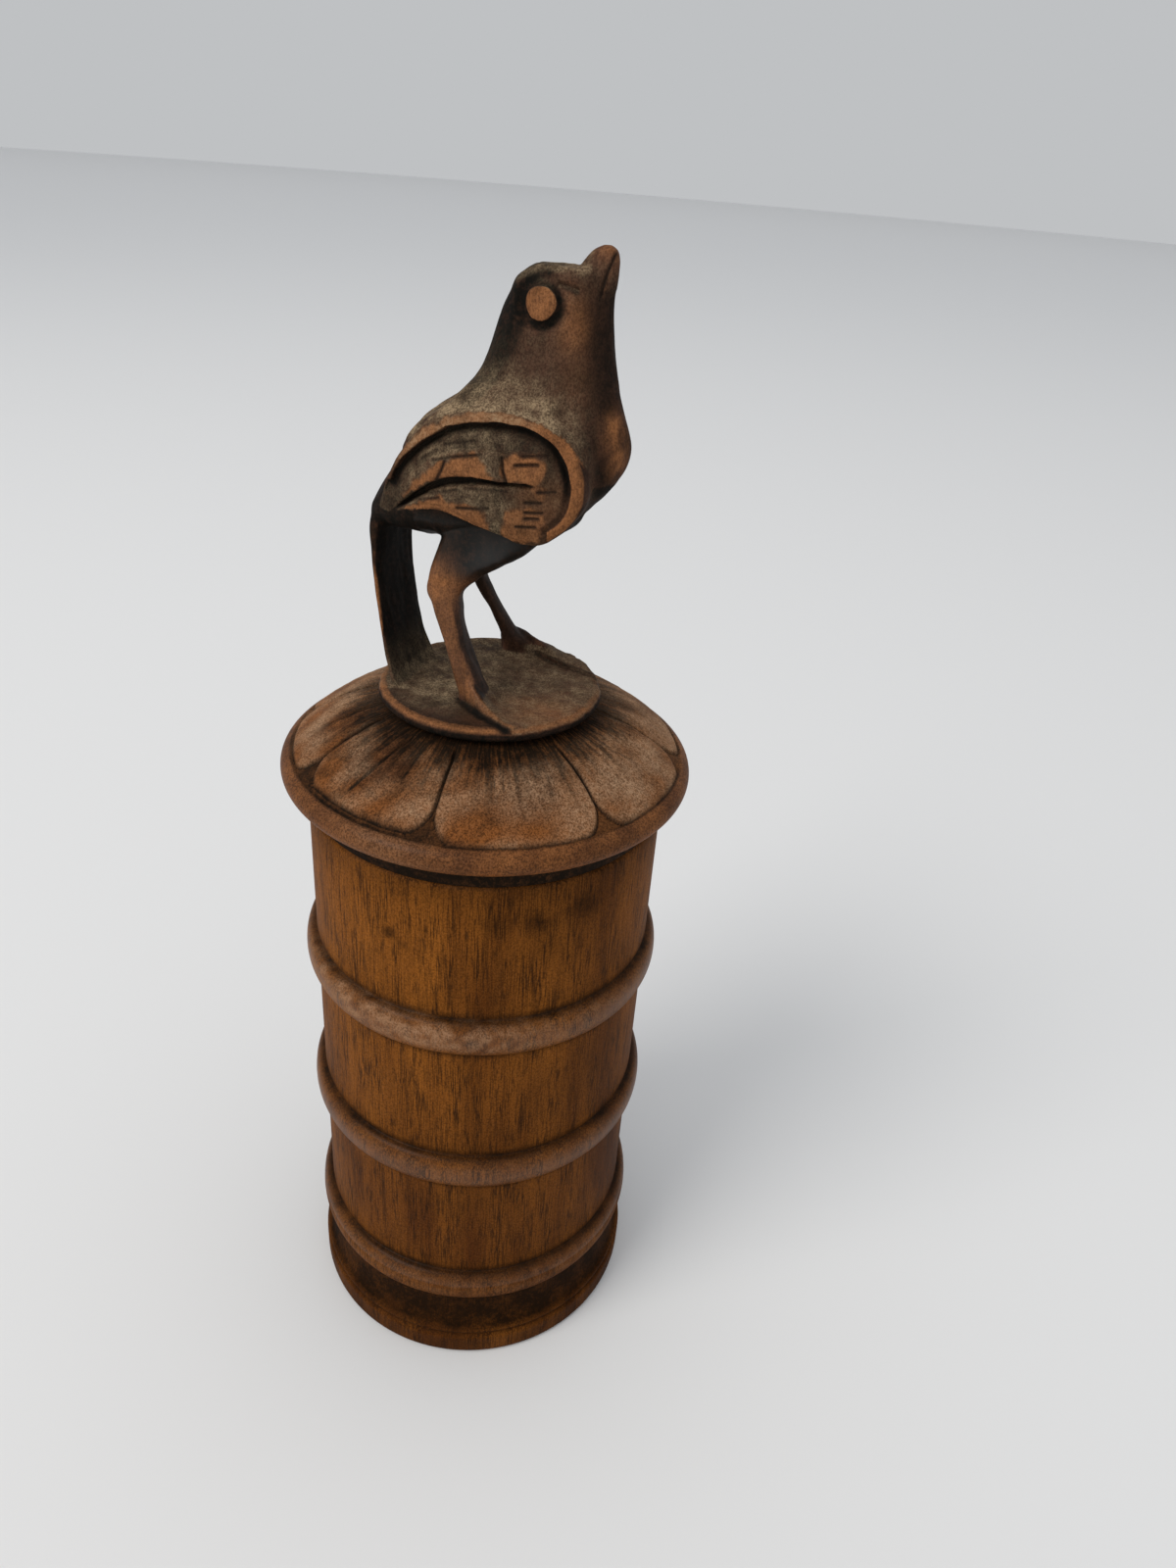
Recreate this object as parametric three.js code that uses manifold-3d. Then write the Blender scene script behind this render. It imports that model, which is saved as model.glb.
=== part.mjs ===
// A tall turned wooden pot with a lift-off lid, and a carved bird standing on the lid.
// Millimetres, +Z up. The origin is the centre of the pot's foot, on the surface it stands on.

import * as THREE from 'three';
import { mergeVertices } from 'three/addons/utils/BufferGeometryUtils.js';
import Module from 'manifold-3d';

const wasm = await Module();
wasm.setup();

// Pot: a straight turned cylinder with three beads and a wider foot.
const potHeight = 166;
const potRadius = 44;
const potWall = 6;
const potFloor = 10;
const floorFillet = 6;
const beadCount = 3;
const beadReach = 2.8;
const beadHalfHeight = 5;
const lowestBead = 28.5;
const beadSpacing = 46.8;
const footReach = 2.9;
const footHeight = 10;
const footEdge = 1.6;
const footGroove = 0.8;
const coveHeight = 12;
const mouthBevel = 0.8;

// Lid: a shallow dome with a rounded rim, a recessed neck and a spigot that enters the pot.
const rimRadius = 50;
const rimRound = 3.4;
const neckInset = 0.3;
const neckHeight = 6;
const crownInset = 2;
const domeRise = 13;
const domeBulge = 2.6;
const landRadius = 21;
const spigotClearance = 0.5;
const spigotDepth = 8;
const spigotWall = 4;
const hollowHeight = 12;

// Petals carved on the dome, as the hand left them: the angle in degrees of the groove before
// each petal, and the radius where the petal ends.
const petals = [
  [-322, 46.8], [-280, 46.8], [-236, 47], [-192, 47], [-154, 46], [-105.5, 47.4], [-55.5, 47.4], [-10, 47],
];
const petalDepth = 0.8;
const petalGroove = 1.3;
const petalCorner = 6;
const petalBevel = 0.9;
const petalStart = 24;
const petalFade = 4;

// Stand: the round slab under the bird's feet, with a tenon glued into the lid.
const standRadius = 26.5;
const standThickness = 3.5;
const standEdge = 1.2;
const standUndercut = 5;
const tenonRadius = 7;
const tenonLength = 9;
const glueLine = 0.3;

// Bird: turned from +X by its heading, and a little to its own left of the stand's centre.
// Its own levels count from the stand's top.
const heading = THREE.MathUtils.degToRad(-16);
const sideStep = 3;
const bodyHalfWidth = 15.6;
const headHalfWidth = 7.2;
const eyeForward = 8.9;
const eyeLevel = 84.6;
const eyeRadius = 3.25;
const eyeProud = 0.6;
const wingProud = 1.8;
const wingBow = 4.4;
const wingCrown = 2.6;
const wingRelief = 0.8;
const tailTurn = THREE.MathUtils.degToRad(-6);

// Number of flats round the turned pieces and round the carved ones.
const turnedFlats = 48;
const carvedFlats = 24;

const potInside = potRadius - potWall;
const rimLevel = potHeight + neckHeight + rimRound;
const crownRadius = rimRadius - crownInset;
const crownLevel = rimLevel + rimRound;
const landLevel = crownLevel + domeRise;
const standTop = landLevel + glueLine + standThickness;
const radians = THREE.MathUtils.degToRad;

// Points of an elliptic arc in a turned profile, its angles counted in quarter turns.
function arc(centreRadius, centreLevel, reach, height, start, end, steps) {
  return Array.from({ length: steps + 1 }, (_, i) => {
    const angle = (start + (end - start) * i / steps) * Math.PI / 2;
    return [centreRadius + reach * Math.cos(angle), centreLevel + height * Math.sin(angle)];
  });
}

// A closed body turned about the Z axis from a profile of radius and level.
function turned(profile, flats = turnedFlats) {
  const points = profile.map(([radius, level]) => new THREE.Vector2(radius, level));
  const geometry = new THREE.LatheGeometry(points, flats);
  geometry.rotateX(Math.PI / 2);
  return geometry;
}

// A closed body through rings of points that go up one after another, each counter-clockwise
// from above, closed by a fan at both ends.
function loft(rings) {
  const count = rings[0].length;
  const points = rings.flat();
  const faces = [];
  for (let k = 0; k + 1 < rings.length; k += 1) {
    for (let i = 0; i < count; i += 1) {
      const here = k * count + i;
      const next = k * count + (i + 1) % count;
      faces.push(here, next, next + count, here, next + count, here + count);
    }
  }
  const centre = (ring) => ring.reduce((sum, p) => sum.add(p), new THREE.Vector3()).divideScalar(count);
  const low = points.length;
  const last = (rings.length - 1) * count;
  points.push(centre(rings[0]), centre(rings.at(-1)));
  for (let i = 0; i < count; i += 1) {
    const next = (i + 1) % count;
    faces.push(low, next, i, low + 1, last + i, last + next);
  }
  const geometry = new THREE.BufferGeometry().setFromPoints(points);
  geometry.setIndex(faces);
  return geometry;
}

// A manifold solid with the shape of a closed three.js geometry.
function solid(geometry) {
  const bare = new THREE.BufferGeometry();
  bare.setAttribute('position', geometry.getAttribute('position'));
  bare.setIndex(geometry.getIndex());
  const merged = mergeVertices(bare, 1e-4);
  const index = merged.getIndex().array;
  const corners = [];
  for (let i = 0; i < index.length; i += 3) {
    const [p, q, r] = [index[i], index[i + 1], index[i + 2]];
    if (p !== q && q !== r && r !== p) corners.push(p, q, r);
  }
  return new wasm.Manifold(new wasm.Mesh({
    numProp: 3,
    vertProperties: new Float32Array(merged.getAttribute('position').array),
    triVerts: new Uint32Array(corners),
  }));
}

// A three.js geometry with the shape of a manifold solid.
function geometryOf(body) {
  const mesh = body.getMesh();
  const geometry = new THREE.BufferGeometry();
  geometry.setAttribute('position', new THREE.BufferAttribute(new Float32Array(mesh.vertProperties), 3));
  geometry.setIndex(new THREE.BufferAttribute(new Uint32Array(mesh.triVerts), 1));
  geometry.computeVertexNormals();
  return geometry;
}

// The pot's profile: foot with its groove, cove, beads, wall, mouth and the hollow inside.
function potProfile() {
  const foot = potRadius + footReach;
  const coveReach = footReach - footGroove;
  const profile = [
    [0, 0],
    [foot - footEdge, 0],
    [foot, footEdge],
    [foot, footHeight - 3 * footGroove],
    [foot - footGroove, footHeight - 2 * footGroove],
    [foot - footGroove / 2, footHeight - footGroove],
    ...arc(foot - footGroove, footHeight + coveHeight, coveReach, coveHeight, -1, -2, 5),
  ];
  for (let i = 0; i < beadCount; i += 1) {
    profile.push(...arc(potRadius, lowestBead + i * beadSpacing, beadReach, beadHalfHeight, -1, 1, 6));
  }
  profile.push(
    [potRadius, potHeight - mouthBevel],
    [potRadius - mouthBevel, potHeight],
    [potInside + mouthBevel, potHeight],
    [potInside, potHeight - mouthBevel],
    ...arc(potInside - floorFillet, potFloor + floorFillet, floorFillet, floorFillet, 0, -1, 3),
    [0, potFloor],
  );
  return profile;
}

// Level of the lid's dome at a radius: a straight slope from land to crown, bulged by a parabola.
function domeLevel(radius) {
  const share = (radius - landRadius) / (crownRadius - landRadius);
  return landLevel - domeRise * share + 4 * domeBulge * share * (1 - share);
}

// Angles round the lid that keep an edge on both sides of every groove between petals.
function petalAngles() {
  const half = Math.asin(petalGroove / 2 / crownRadius);
  const bevel = Math.asin((petalGroove / 2 + petalBevel) / crownRadius);
  return petals.flatMap(([edge], i) => {
    const start = radians(edge);
    const end = radians(i + 1 < petals.length ? petals[i + 1][0] : petals[0][0] + 360);
    const [first, last] = [start + bevel, end - bevel];
    const inner = [0, 0.2, 0.4, 0.6, 0.8, 1].map((share) => first + (last - first) * share);
    return [start, start + half, ...inner, end - half];
  });
}

// How far the dome is cut back at a place: nothing on a petal, and the full depth in the
// grooves and outside the petals' rounded ends.
function petalCut(radius, angle) {
  const turn = 2 * Math.PI;
  const index = petals.findLastIndex(([edge]) => radians(edge) <= angle + 1e-9);
  const start = radians(petals[index][0]);
  const end = index + 1 < petals.length ? radians(petals[index + 1][0]) : radians(petals[0][0]) + turn;
  const side = radius * Math.min(angle - start, end - angle) - petalGroove / 2;
  const tip = petals[index][1] - radius;
  const inCorner = side < petalCorner && tip < petalCorner;
  const inside = inCorner
    ? petalCorner - Math.hypot(petalCorner - side, petalCorner - tip)
    : Math.min(side, tip);
  const depth = THREE.MathUtils.clamp(1 - inside / petalBevel, 0, 1);
  return petalDepth * depth * THREE.MathUtils.smoothstep(radius, petalStart, petalStart + petalFade);
}

// The lid, with the petals carved on its dome and a bore for the stand's tenon.
function makeLid() {
  const neck = potRadius - neckInset;
  const spigot = potInside - spigotClearance;
  const hollow = spigot - spigotWall;
  const below = [
    ...arc(0, potHeight, hollow, hollowHeight, 1, 0, 5).slice(1),
    [hollow, potHeight - spigotDepth],
    [spigot - mouthBevel, potHeight - spigotDepth],
    [spigot, potHeight - spigotDepth + mouthBevel],
    [spigot, potHeight],
    [neck, potHeight],
    [neck, potHeight + neckHeight],
    ...arc(rimRadius - rimRound, rimLevel, rimRound, rimRound, -1, 0.8, 7),
  ];
  const dome = [47.4, 46.4, 45, 43, 40, 36, 32, 28, 24].map((radius) => [radius, domeLevel(radius)]);
  const angles = petalAngles();
  const ring = ([radius, level], carved) => angles.map((angle) => new THREE.Vector3(
    radius * Math.cos(angle),
    radius * Math.sin(angle),
    level - (carved ? petalCut(radius, angle) : 0),
  ));
  const rings = [
    ...below.map((point) => ring(point, false)),
    ...dome.map((point) => ring(point, true)),
    ring([landRadius, landLevel], false),
  ];
  const bore = turned([
    [0, landLevel - tenonLength],
    [tenonRadius + glueLine, landLevel - tenonLength],
    [tenonRadius + glueLine, landLevel + 1],
    [0, landLevel + 1],
  ], carvedFlats);
  return geometryOf(solid(loft(rings)).subtract(solid(bore)));
}

// Stations of the carved forms, from the lowest up. Each is its level, its back and front ends,
// where it is widest, its half width, its sideways place, and how square it is behind and ahead.
const bodyStations = [
  [35.2, -27.5, 8, -8, 7, 0, 3, 2.2],
  [36.4, -28.6, 12, -7, 10, 0, 3, 2.1],
  [39, -28.6, 17, -6, 13.4, 0, 2.8, 2],
  [43, -26.8, 20, -2, 15, 0, 2.5, 2],
  [48, -23.8, 24.6, 1, bodyHalfWidth, 0, 2.2, 1.9],
  [52.5, -21.1, 27.6, 3, bodyHalfWidth, 0, 2.1, 1.8],
  [56.5, -19, 28.3, 4, 14.8, 0, 2, 1.8],
  [60.5, -15.7, 27.6, 6, 13, 0, 2, 1.8],
  [64.5, -9.8, 26, 8, 10.8, 0, 2, 1.9],
  [69, -5.8, 24.6, 9.5, 9, 0, 2.1, 2],
  [75, -2.8, 23.3, 10, 7.8, 0, 2.2, 2],
  [80.5, -0.9, 22.6, 9.5, 7.3, 0, 2.3, 1.8],
  [85.5, 1, 22.6, 9.5, headHalfWidth, 0, 2.3, 1.6],
  [89, 3, 22.7, 10, 6.2, 0, 2.4, 1.6],
  [91.1, 6, 22.8, 12, 4.4, 0, 2.4, 1.7],
];
const beakStations = [
  [87.5, 11, 22.7, 18, 3.8, 0, 2, 1.9],
  [91.1, 14.6, 22.8, 19, 3, 0, 2, 1.9],
  [93.2, 16.4, 22.7, 19.7, 2.5, 0, 2, 2],
  [94.7, 18, 22, 20.1, 1.7, 0, 2, 2],
  [95.4, 19.4, 21, 20.2, 0.7, 0, 2, 2],
];
const rightLegStations = [
  [-1, -4, 6.5, -0.5, 3.2, -14.2, 2.8, 2.8],
  [1.6, -4.1, 3.6, -1, 3, -14.1, 3, 3],
  [5, -5, 1.2, -2.4, 2.9, -13.8, 3.4, 3.6],
  [10, -6.9, -1.4, -4.4, 2.9, -13.2, 3.6, 3.8],
  [15.5, -8.9, -3.5, -6.4, 2.9, -12.6, 3.6, 3.8],
  [20.5, -10.8, -4.6, -8, 3.1, -12, 3.4, 3.6],
  [24.6, -12.5, -4.6, -8.8, 3.5, -11.3, 3, 3],
  [27.5, -12.4, -1.6, -7.6, 4.4, -10.4, 2.6, 2.4],
  [34, -10.7, 8.6, -4, 6.4, -8.1, 2.6, 2],
  [42, -8.2, 17, 0, 7.6, -6.3, 2.6, 2],
];
const leftLegStations = [
  [-1, -2.6, 7.5, 1.5, 2.8, 16, 2.6, 2.6],
  [2, -2.2, 5.2, 0.8, 2.4, 15.8, 2.8, 2.8],
  [5, -2.9, 1.9, -0.7, 2.1, 15.3, 2.8, 2.8],
  [10, -5, -1.8, -3.4, 2, 14.8, 2.8, 2.8],
  [16.5, -8.5, -5, -6.8, 2, 13.8, 2.8, 2.8],
  [21.5, -10.8, -6.4, -8.6, 2.5, 12.6, 2.8, 2.8],
  [26, -12.2, -3.2, -7.8, 3.8, 11, 2.6, 2.4],
  [34, -10.7, 8.6, -4, 6.4, 8.1, 2.6, 2],
  [42, -8.2, 17, 0, 7.6, 6.3, 2.6, 2],
];
const tailStations = [
  [-1, -20.9, -16.6, -18.4, 10.9, -3, 2, 4],
  [1.5, -21.6, -18.6, -19.7, 10.5, -2.7, 2, 4],
  [5, -22.8, -20.2, -21.3, 10, -2.2, 2, 4],
  [10, -24.1, -21.7, -22.7, 9.6, -1.7, 2, 4],
  [20, -26, -23.6, -24.5, 9.2, -1.1, 2, 4],
  [30, -27.2, -24, -25.4, 9.1, -0.8, 2.2, 4],
  [36, -27.8, -23, -25.2, 9, -0.4, 2.6, 3],
  [41, -27, -19, -23, 8.6, 0, 2.6, 2.6],
];

// A ring at one level, an egg whose two halves may be of different length and squareness.
function eggRing(level, back, front, widest, half, side, squareBehind, squareAhead) {
  return Array.from({ length: carvedFlats }, (_, i) => {
    const angle = 2 * Math.PI * i / carvedFlats;
    const [c, s] = [Math.cos(angle), Math.sin(angle)];
    const ahead = c > 0;
    const power = 2 / (ahead ? squareAhead : squareBehind);
    const reach = ahead ? front - widest : widest - back;
    const along = Math.sign(c) * Math.abs(c) ** power;
    const across = Math.sign(s) * Math.abs(s) ** power;
    return new THREE.Vector3(widest + along * reach, side + across * half, level);
  });
}

// A carved form: rings read from its stations by a smooth curve, some of them between stations.
function carved(stations, between = 1) {
  const levels = stations.map((station) => station[0]);
  const values = stations.flatMap((station) => station.slice(1));
  const curve = new THREE.CubicInterpolant(levels, values, stations[0].length - 1);
  const rings = [];
  levels.slice(1).forEach((level, k) => {
    for (let i = 0; i <= between; i += 1) {
      const here = THREE.MathUtils.lerp(levels[k], level, i / (between + 1));
      rings.push(eggRing(here, ...curve.evaluate(here)));
    }
  });
  rings.push(eggRing(levels.at(-1), ...curve.evaluate(levels.at(-1))));
  return loft(rings);
}

// A foot's outline on the stand, each point with its height: heel, then round the web.
const rightFoot = [
  [-3.6, -14.2, 1.8], [-2.2, -17.3, 1.7], [3, -21.3, 1.4], [8, -24.6, 1], [14.5, -28, 0.3],
  [30, -18, 0.2], [30, -4, 0.1], [10, -8, 0.3], [1, -11, 1.4],
];
const leftFoot = [
  [-3.5, 15, 1.8], [0.6, 16, 1.8], [7.1, 14.2, 1.1], [13.5, 11, 0.7], [19.8, 8.5, 0.3],
  [28, 5, 0.1], [30, 22, 0.1], [10, 32, 0.8], [-2, 20, 1.7],
];

// A foot: a thin web that slopes from the heel to the toes and ends with the stand's edge.
function makeFoot(outline) {
  const below = outline.map(([x, y]) => new THREE.Vector3(x, y, -1));
  const above = outline.map(([x, y, height]) => new THREE.Vector3(x, y, height));
  const edge = standRadius - standEdge / 3;
  const trim = turned([[0, -2], [edge, -2], [edge, 4], [0, 4]]).translate(0, -sideStep, 0);
  return solid(loft([below, above])).intersect(solid(trim));
}

// A wing's outline on the flank, from its rear tip along the lower edge and back over the top.
const wingOutline = [
  [-24, 40.8], [-17, 42.2], [-9.5, 43.5], [0.5, 40.8], [12.9, 38.2], [18.8, 42.5], [22, 48.5],
  [21.8, 53], [19, 58], [13.4, 62], [6, 64], [-2, 63.8], [-11, 61], [-17.5, 55], [-22, 47.5],
];

// A wing: a panel standing proud of one flank, with a raised rim round a sunk field.
function makeWing(side) {
  const curve = new THREE.CatmullRomCurve3(wingOutline.map(([x, z]) => new THREE.Vector3(x, 0, z)), true);
  const points = curve.getSpacedPoints(2 * carvedFlats).slice(1);
  const middle = new THREE.Vector3(0, 0, 50);
  const surface = (x, z) => bodyHalfWidth + wingProud
    - wingBow * ((x - 3) / 22) ** 2 - wingCrown * ((z - middle.z) / 14) ** 2;
  const ring = (share, sunk) => {
    const placed = points.map((p) => middle.clone().lerp(p, share)).map((q) => (
      new THREE.Vector3(q.x, side * (sunk === null ? 5 : surface(q.x, q.z) - sunk), q.z)
    ));
    return side > 0 ? placed.reverse() : placed;
  };
  return solid(loft([
    ring(1, null),
    ring(1, 1),
    ring(0.97, 0),
    ring(0.88, 0),
    ring(0.83, wingRelief),
    ring(0.5, wingRelief),
  ]));
}

// An eye: a flat round boss standing a little proud of the head on one side.
function makeEye(side) {
  const depth = headHalfWidth / 2;
  const boss = new THREE.CylinderGeometry(eyeRadius, eyeRadius, depth, carvedFlats);
  boss.translate(eyeForward, side * (headHalfWidth + eyeProud - depth / 2), eyeLevel);
  return solid(boss);
}

// The tail: a broad thin board from the rump down to the stand, turned a little to one side.
function makeTail() {
  const pivot = new THREE.Vector3(-24, -1, 0);
  const board = carved(tailStations);
  board.translate(-pivot.x, -pivot.y, 0).rotateZ(tailTurn).translate(pivot.x, pivot.y, 0);
  return solid(board);
}

// The stand: a round slab with a softened edge, undercut below, and the tenon under it.
function makeStand() {
  const bottom = -standThickness;
  const tenonEnd = bottom - tenonLength + 2 * glueLine;
  const slab = turned([
    [0, tenonEnd],
    [tenonRadius, tenonEnd],
    [tenonRadius, bottom],
    [standRadius - standUndercut, bottom],
    [standRadius - standEdge / 2, bottom + standEdge / 2],
    [standRadius, bottom + standThickness / 2],
    [standRadius - standEdge / 3, -standEdge / 3],
    [standRadius - standEdge, 0],
    [0, 0],
  ]);
  return solid(slab.translate(0, -sideStep, 0));
}

// The bird with its legs, tail and stand, carved in one piece of wood.
function makeBird() {
  const forms = [
    solid(carved(bodyStations)),
    solid(carved(beakStations)),
    solid(carved(rightLegStations)),
    solid(carved(leftLegStations)),
    makeTail(),
    makeFoot(rightFoot),
    makeFoot(leftFoot),
    ...[-1, 1].flatMap((side) => [makeWing(side), makeEye(side)]),
  ];
  return geometryOf(forms.reduce((whole, form) => whole.add(form), makeStand()));
}

// One piece of wood with its name, colour and roughness.
function woodMesh(name, geometry, color, roughness) {
  const mesh = new THREE.Mesh(geometry, new THREE.MeshStandardMaterial({ color, roughness, metalness: 0 }));
  mesh.name = name;
  return mesh;
}

const object = new THREE.Group();
object.add(woodMesh('pot', turned(potProfile()), 0x7a4a25, 0.5));
object.add(woodMesh('lid', makeLid(), 0x8a5530, 0.6));

const bird = woodMesh('bird', makeBird(), 0x4a2c1c, 0.55);
bird.rotation.z = heading;
bird.position.set(-Math.sin(heading) * sideStep, Math.cos(heading) * sideStep, standTop);
object.add(bird);

export default object;
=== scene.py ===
# %% [markdown]
# # A lidded wooden pot with a carved bird
# The object is a tall turned pot of dark hardwood. Its lid is a shallow dome carved with petals,
# and a long-legged bird, carved with its stand from one block, is glued on top.
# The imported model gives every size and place, and this script gives each piece its real surface
# and its wood. We start by loading that model as a fixed frame.

# %% Load the frame
import math
import bpy
import numpy as np
from mathutils import Matrix


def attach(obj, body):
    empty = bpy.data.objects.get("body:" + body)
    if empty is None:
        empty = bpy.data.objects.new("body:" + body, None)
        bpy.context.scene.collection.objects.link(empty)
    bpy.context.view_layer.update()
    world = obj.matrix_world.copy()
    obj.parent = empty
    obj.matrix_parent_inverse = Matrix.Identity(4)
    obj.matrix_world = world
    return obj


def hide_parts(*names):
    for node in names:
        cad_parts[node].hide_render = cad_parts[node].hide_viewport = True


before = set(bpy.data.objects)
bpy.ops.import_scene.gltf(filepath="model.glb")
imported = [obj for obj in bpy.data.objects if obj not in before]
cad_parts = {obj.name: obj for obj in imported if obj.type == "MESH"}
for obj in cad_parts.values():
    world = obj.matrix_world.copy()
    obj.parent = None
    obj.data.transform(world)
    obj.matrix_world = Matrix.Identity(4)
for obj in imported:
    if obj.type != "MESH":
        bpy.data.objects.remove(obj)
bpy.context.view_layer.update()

# %% [markdown]
# ## The camera
# The photograph was taken from close by, looking down at the pot, with the telephone held a
# little crooked. Its place was worked out from the ellipses of the rim, beads and foot. A camera
# matrix is three unit vectors (right, up and backwards) and a place, so we build those vectors
# from the three angles rather than setting turns one after another.

# %% Camera
camera_place = (0.0, -0.2373, 0.3078)
focal_pixels, photo_pixels, sensor = 1109, 1600, 36
yaw, pitch, roll = (math.radians(angle) for angle in (6.12, 30.46, 4.82))
ahead = np.array([math.sin(yaw) * math.cos(pitch), math.cos(yaw) * math.cos(pitch), -math.sin(pitch)])
level_right = np.array([math.cos(yaw), -math.sin(yaw), 0.0])
level_up = np.cross(level_right, ahead)
right = math.cos(roll) * level_right + math.sin(roll) * level_up
up = math.cos(roll) * level_up - math.sin(roll) * level_right


def put(name, data, axes, place):
    """Puts a camera or lamp at a place in metres, its own axes along three unit vectors."""
    made = bpy.data.objects.new(name, data)
    rows = [[*row, at] for row, at in zip(np.column_stack(axes).tolist(), place)]
    made.matrix_world = Matrix(rows + [[0, 0, 0, 1]])
    bpy.context.scene.collection.objects.link(made)
    return made


lens = bpy.data.cameras.new("photo_view")
lens.sensor_width = sensor
lens.lens = sensor * focal_pixels / photo_pixels
lens.clip_start = 0.01
bpy.context.scene.camera = put("photo_view", lens, [right, up, -ahead], camera_place)
print("lens", round(lens.lens, 2), "mm")

# %% [markdown]
# ## Surfaces from arrays
# Every piece is a grid of points worked out by a formula. Going round the piece gives the columns
# and going along it gives the rows. Both ends close in a single point, so a piece is one
# watertight skin, as real wood is. Lengths are in millimetres until the mesh is made.

# %% Turn a grid of points into a mesh
MM = 0.001


def closed_grid(points):
    """Vertices and faces of a skin. Row k, column i of the grid is joined to its neighbours,
    the last column to the first, and the first and last rows to their own mean point."""
    rows, columns = points.shape[:2]
    here = np.arange(rows * columns).reshape(rows, columns)
    beside = np.roll(here, -1, axis=1)
    quads = np.stack([here[:-1], beside[:-1], beside[1:], here[1:]], axis=-1).reshape(-1, 4)
    low, high = rows * columns, rows * columns + 1
    first = np.stack([np.full(columns, low), beside[0], here[0]], axis=-1)
    last = np.stack([np.full(columns, high), here[-1], beside[-1]], axis=-1)
    vertices = np.concatenate([points.reshape(-1, 3), points[:1].mean(1), points[-1:].mean(1)])
    return vertices, quads.tolist() + first.tolist() + last.tolist()


def mesh_from(name, vertices, faces, unit=MM):
    """A smooth-shaded mesh of the given vertices, scaled by the unit."""
    mesh = bpy.data.meshes.new(name)
    mesh.from_pydata((np.asarray(vertices) * unit).tolist(), [], faces)
    mesh.polygons.foreach_set("use_smooth", np.ones(len(mesh.polygons), bool))
    mesh.update()
    return mesh


def triangles_of(mesh):
    """How many triangles the faces of a mesh make."""
    return sum(len(face.vertices) - 2 for face in mesh.polygons)


def piece_from(mesh, body, node):
    """Puts a mesh in the scene as a piece that rides on a body and stands for a CAD node."""
    piece = bpy.data.objects.new(mesh.name, mesh)
    bpy.context.scene.collection.objects.link(piece)
    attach(piece, body)
    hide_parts(node)
    print(piece.name, len(mesh.vertices), "vertices", triangles_of(mesh), "triangles")
    return piece


def paint(mesh, name, values):
    """Stores a number for each vertex, from 0 to 1, for the wood's finish to read."""
    layer = mesh.attributes.new(name, "FLOAT", "POINT")
    layer.data.foreach_set("value", np.clip(values, 0, 1).astype(np.float32))


# %% Small formulas used all over
def ease(value, start, end):
    """Goes from 0 at start to 1 at end as 3t^2 - 2t^3, and stays flat outside."""
    t = np.clip((value - start) / (end - start), 0, 1)
    return t * t * (3 - 2 * t)


def band(value, start, full, fade, end):
    """Rises from 0 at start to 1 at full, and falls back to 0 from fade to end."""
    return ease(value, start, full) * (1 - ease(value, fade, end))


def bell(value, centre, width):
    """1 at the centre and exp(-1) at the width on each side: exp(-((x - c) / w)^2)."""
    return np.exp(-(((value - centre) / width) ** 2))


def turned(angle, start):
    """The turn from one direction to another, from -pi to pi."""
    return (angle - start + np.pi) % (2 * np.pi) - np.pi


def waves(points, size, seed, count=20):
    """Smooth unevenness: a sum of cosines of the place along random directions, with random
    phases and wavelengths near size, scaled to a spread of about 1."""
    chance = np.random.default_rng(seed)
    directions = chance.normal(size=(count, 3))
    directions /= np.linalg.norm(directions, axis=1, keepdims=True)
    directions *= 2 * np.pi / size * chance.uniform(0.6, 1.6, (count, 1))
    shifts = chance.uniform(0, 2 * np.pi, count)
    return np.cos(points @ directions.T + shifts).sum(-1) * math.sqrt(2 / count)


def arc(centre_radius, centre_level, reach, height, start, end, steps):
    """Points of an ellipse, (r + a cos t, z + b sin t), for t from start to end quarter turns."""
    t = np.linspace(start, end, steps + 1) * np.pi / 2
    return np.column_stack([centre_radius + reach * np.cos(t), centre_level + height * np.sin(t)]).tolist()


def fill(profile, step):
    """The same profile with points added on its long straights, no further apart than step."""
    profile = np.asarray(profile, float)
    filled = [profile[:1]]
    for start, end in zip(profile[:-1], profile[1:]):
        pieces = max(1, math.ceil(np.linalg.norm(end - start) / step))
        filled.append(start + (end - start) * (np.arange(1, pieces + 1) / pieces)[:, None])
    return np.concatenate(filled)


def turn(profile, angles):
    """Surface of revolution: (r cos t, r sin t, z) for each profile point and each angle."""
    radius, level = np.asarray(profile, float).T
    return np.stack([radius[:, None] * np.cos(angles), radius[:, None] * np.sin(angles),
                     level[:, None] + 0 * angles], axis=-1)


# %% [markdown]
# ## The pot
# A pot like this is turned between centres and hollowed from the top. Its outline is therefore
# one profile spun about the axis: a rounded foot with a scratched groove, a hollow cove, and
# three beads cut between two V creases. The grime in those creases, the shade painted into them
# and into the cove, and the wear on the beads follow the profile too, so all are worked out from
# the level.

# %% Pot profile
pot_height, pot_radius, pot_inside, pot_floor = 166, 44, 38, 10
foot_radius, foot_height, cove_height = 46.9, 10, 12
bead_levels = np.array([28.5, 75.3, 122.1])
bead_reach, bead_half, crease = 2.8, 5, 0.35


def bead(level):
    """A bead between two creases: half an ellipse, blunt below and with a rounder shoulder above."""
    t = np.linspace(-0.97, 0.97, 23) * math.pi / 2
    swell = np.column_stack([pot_radius + bead_reach * np.cos(t) ** 0.9, level + bead_half * np.sin(t)])
    return [[pot_radius, level - bead_half - 0.9], [pot_radius - crease * 0.7, level - bead_half - 0.15],
            *swell.tolist(), [pot_radius - crease, level + bead_half + 0.2],
            [pot_radius, level + bead_half + 1.2]]


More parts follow.
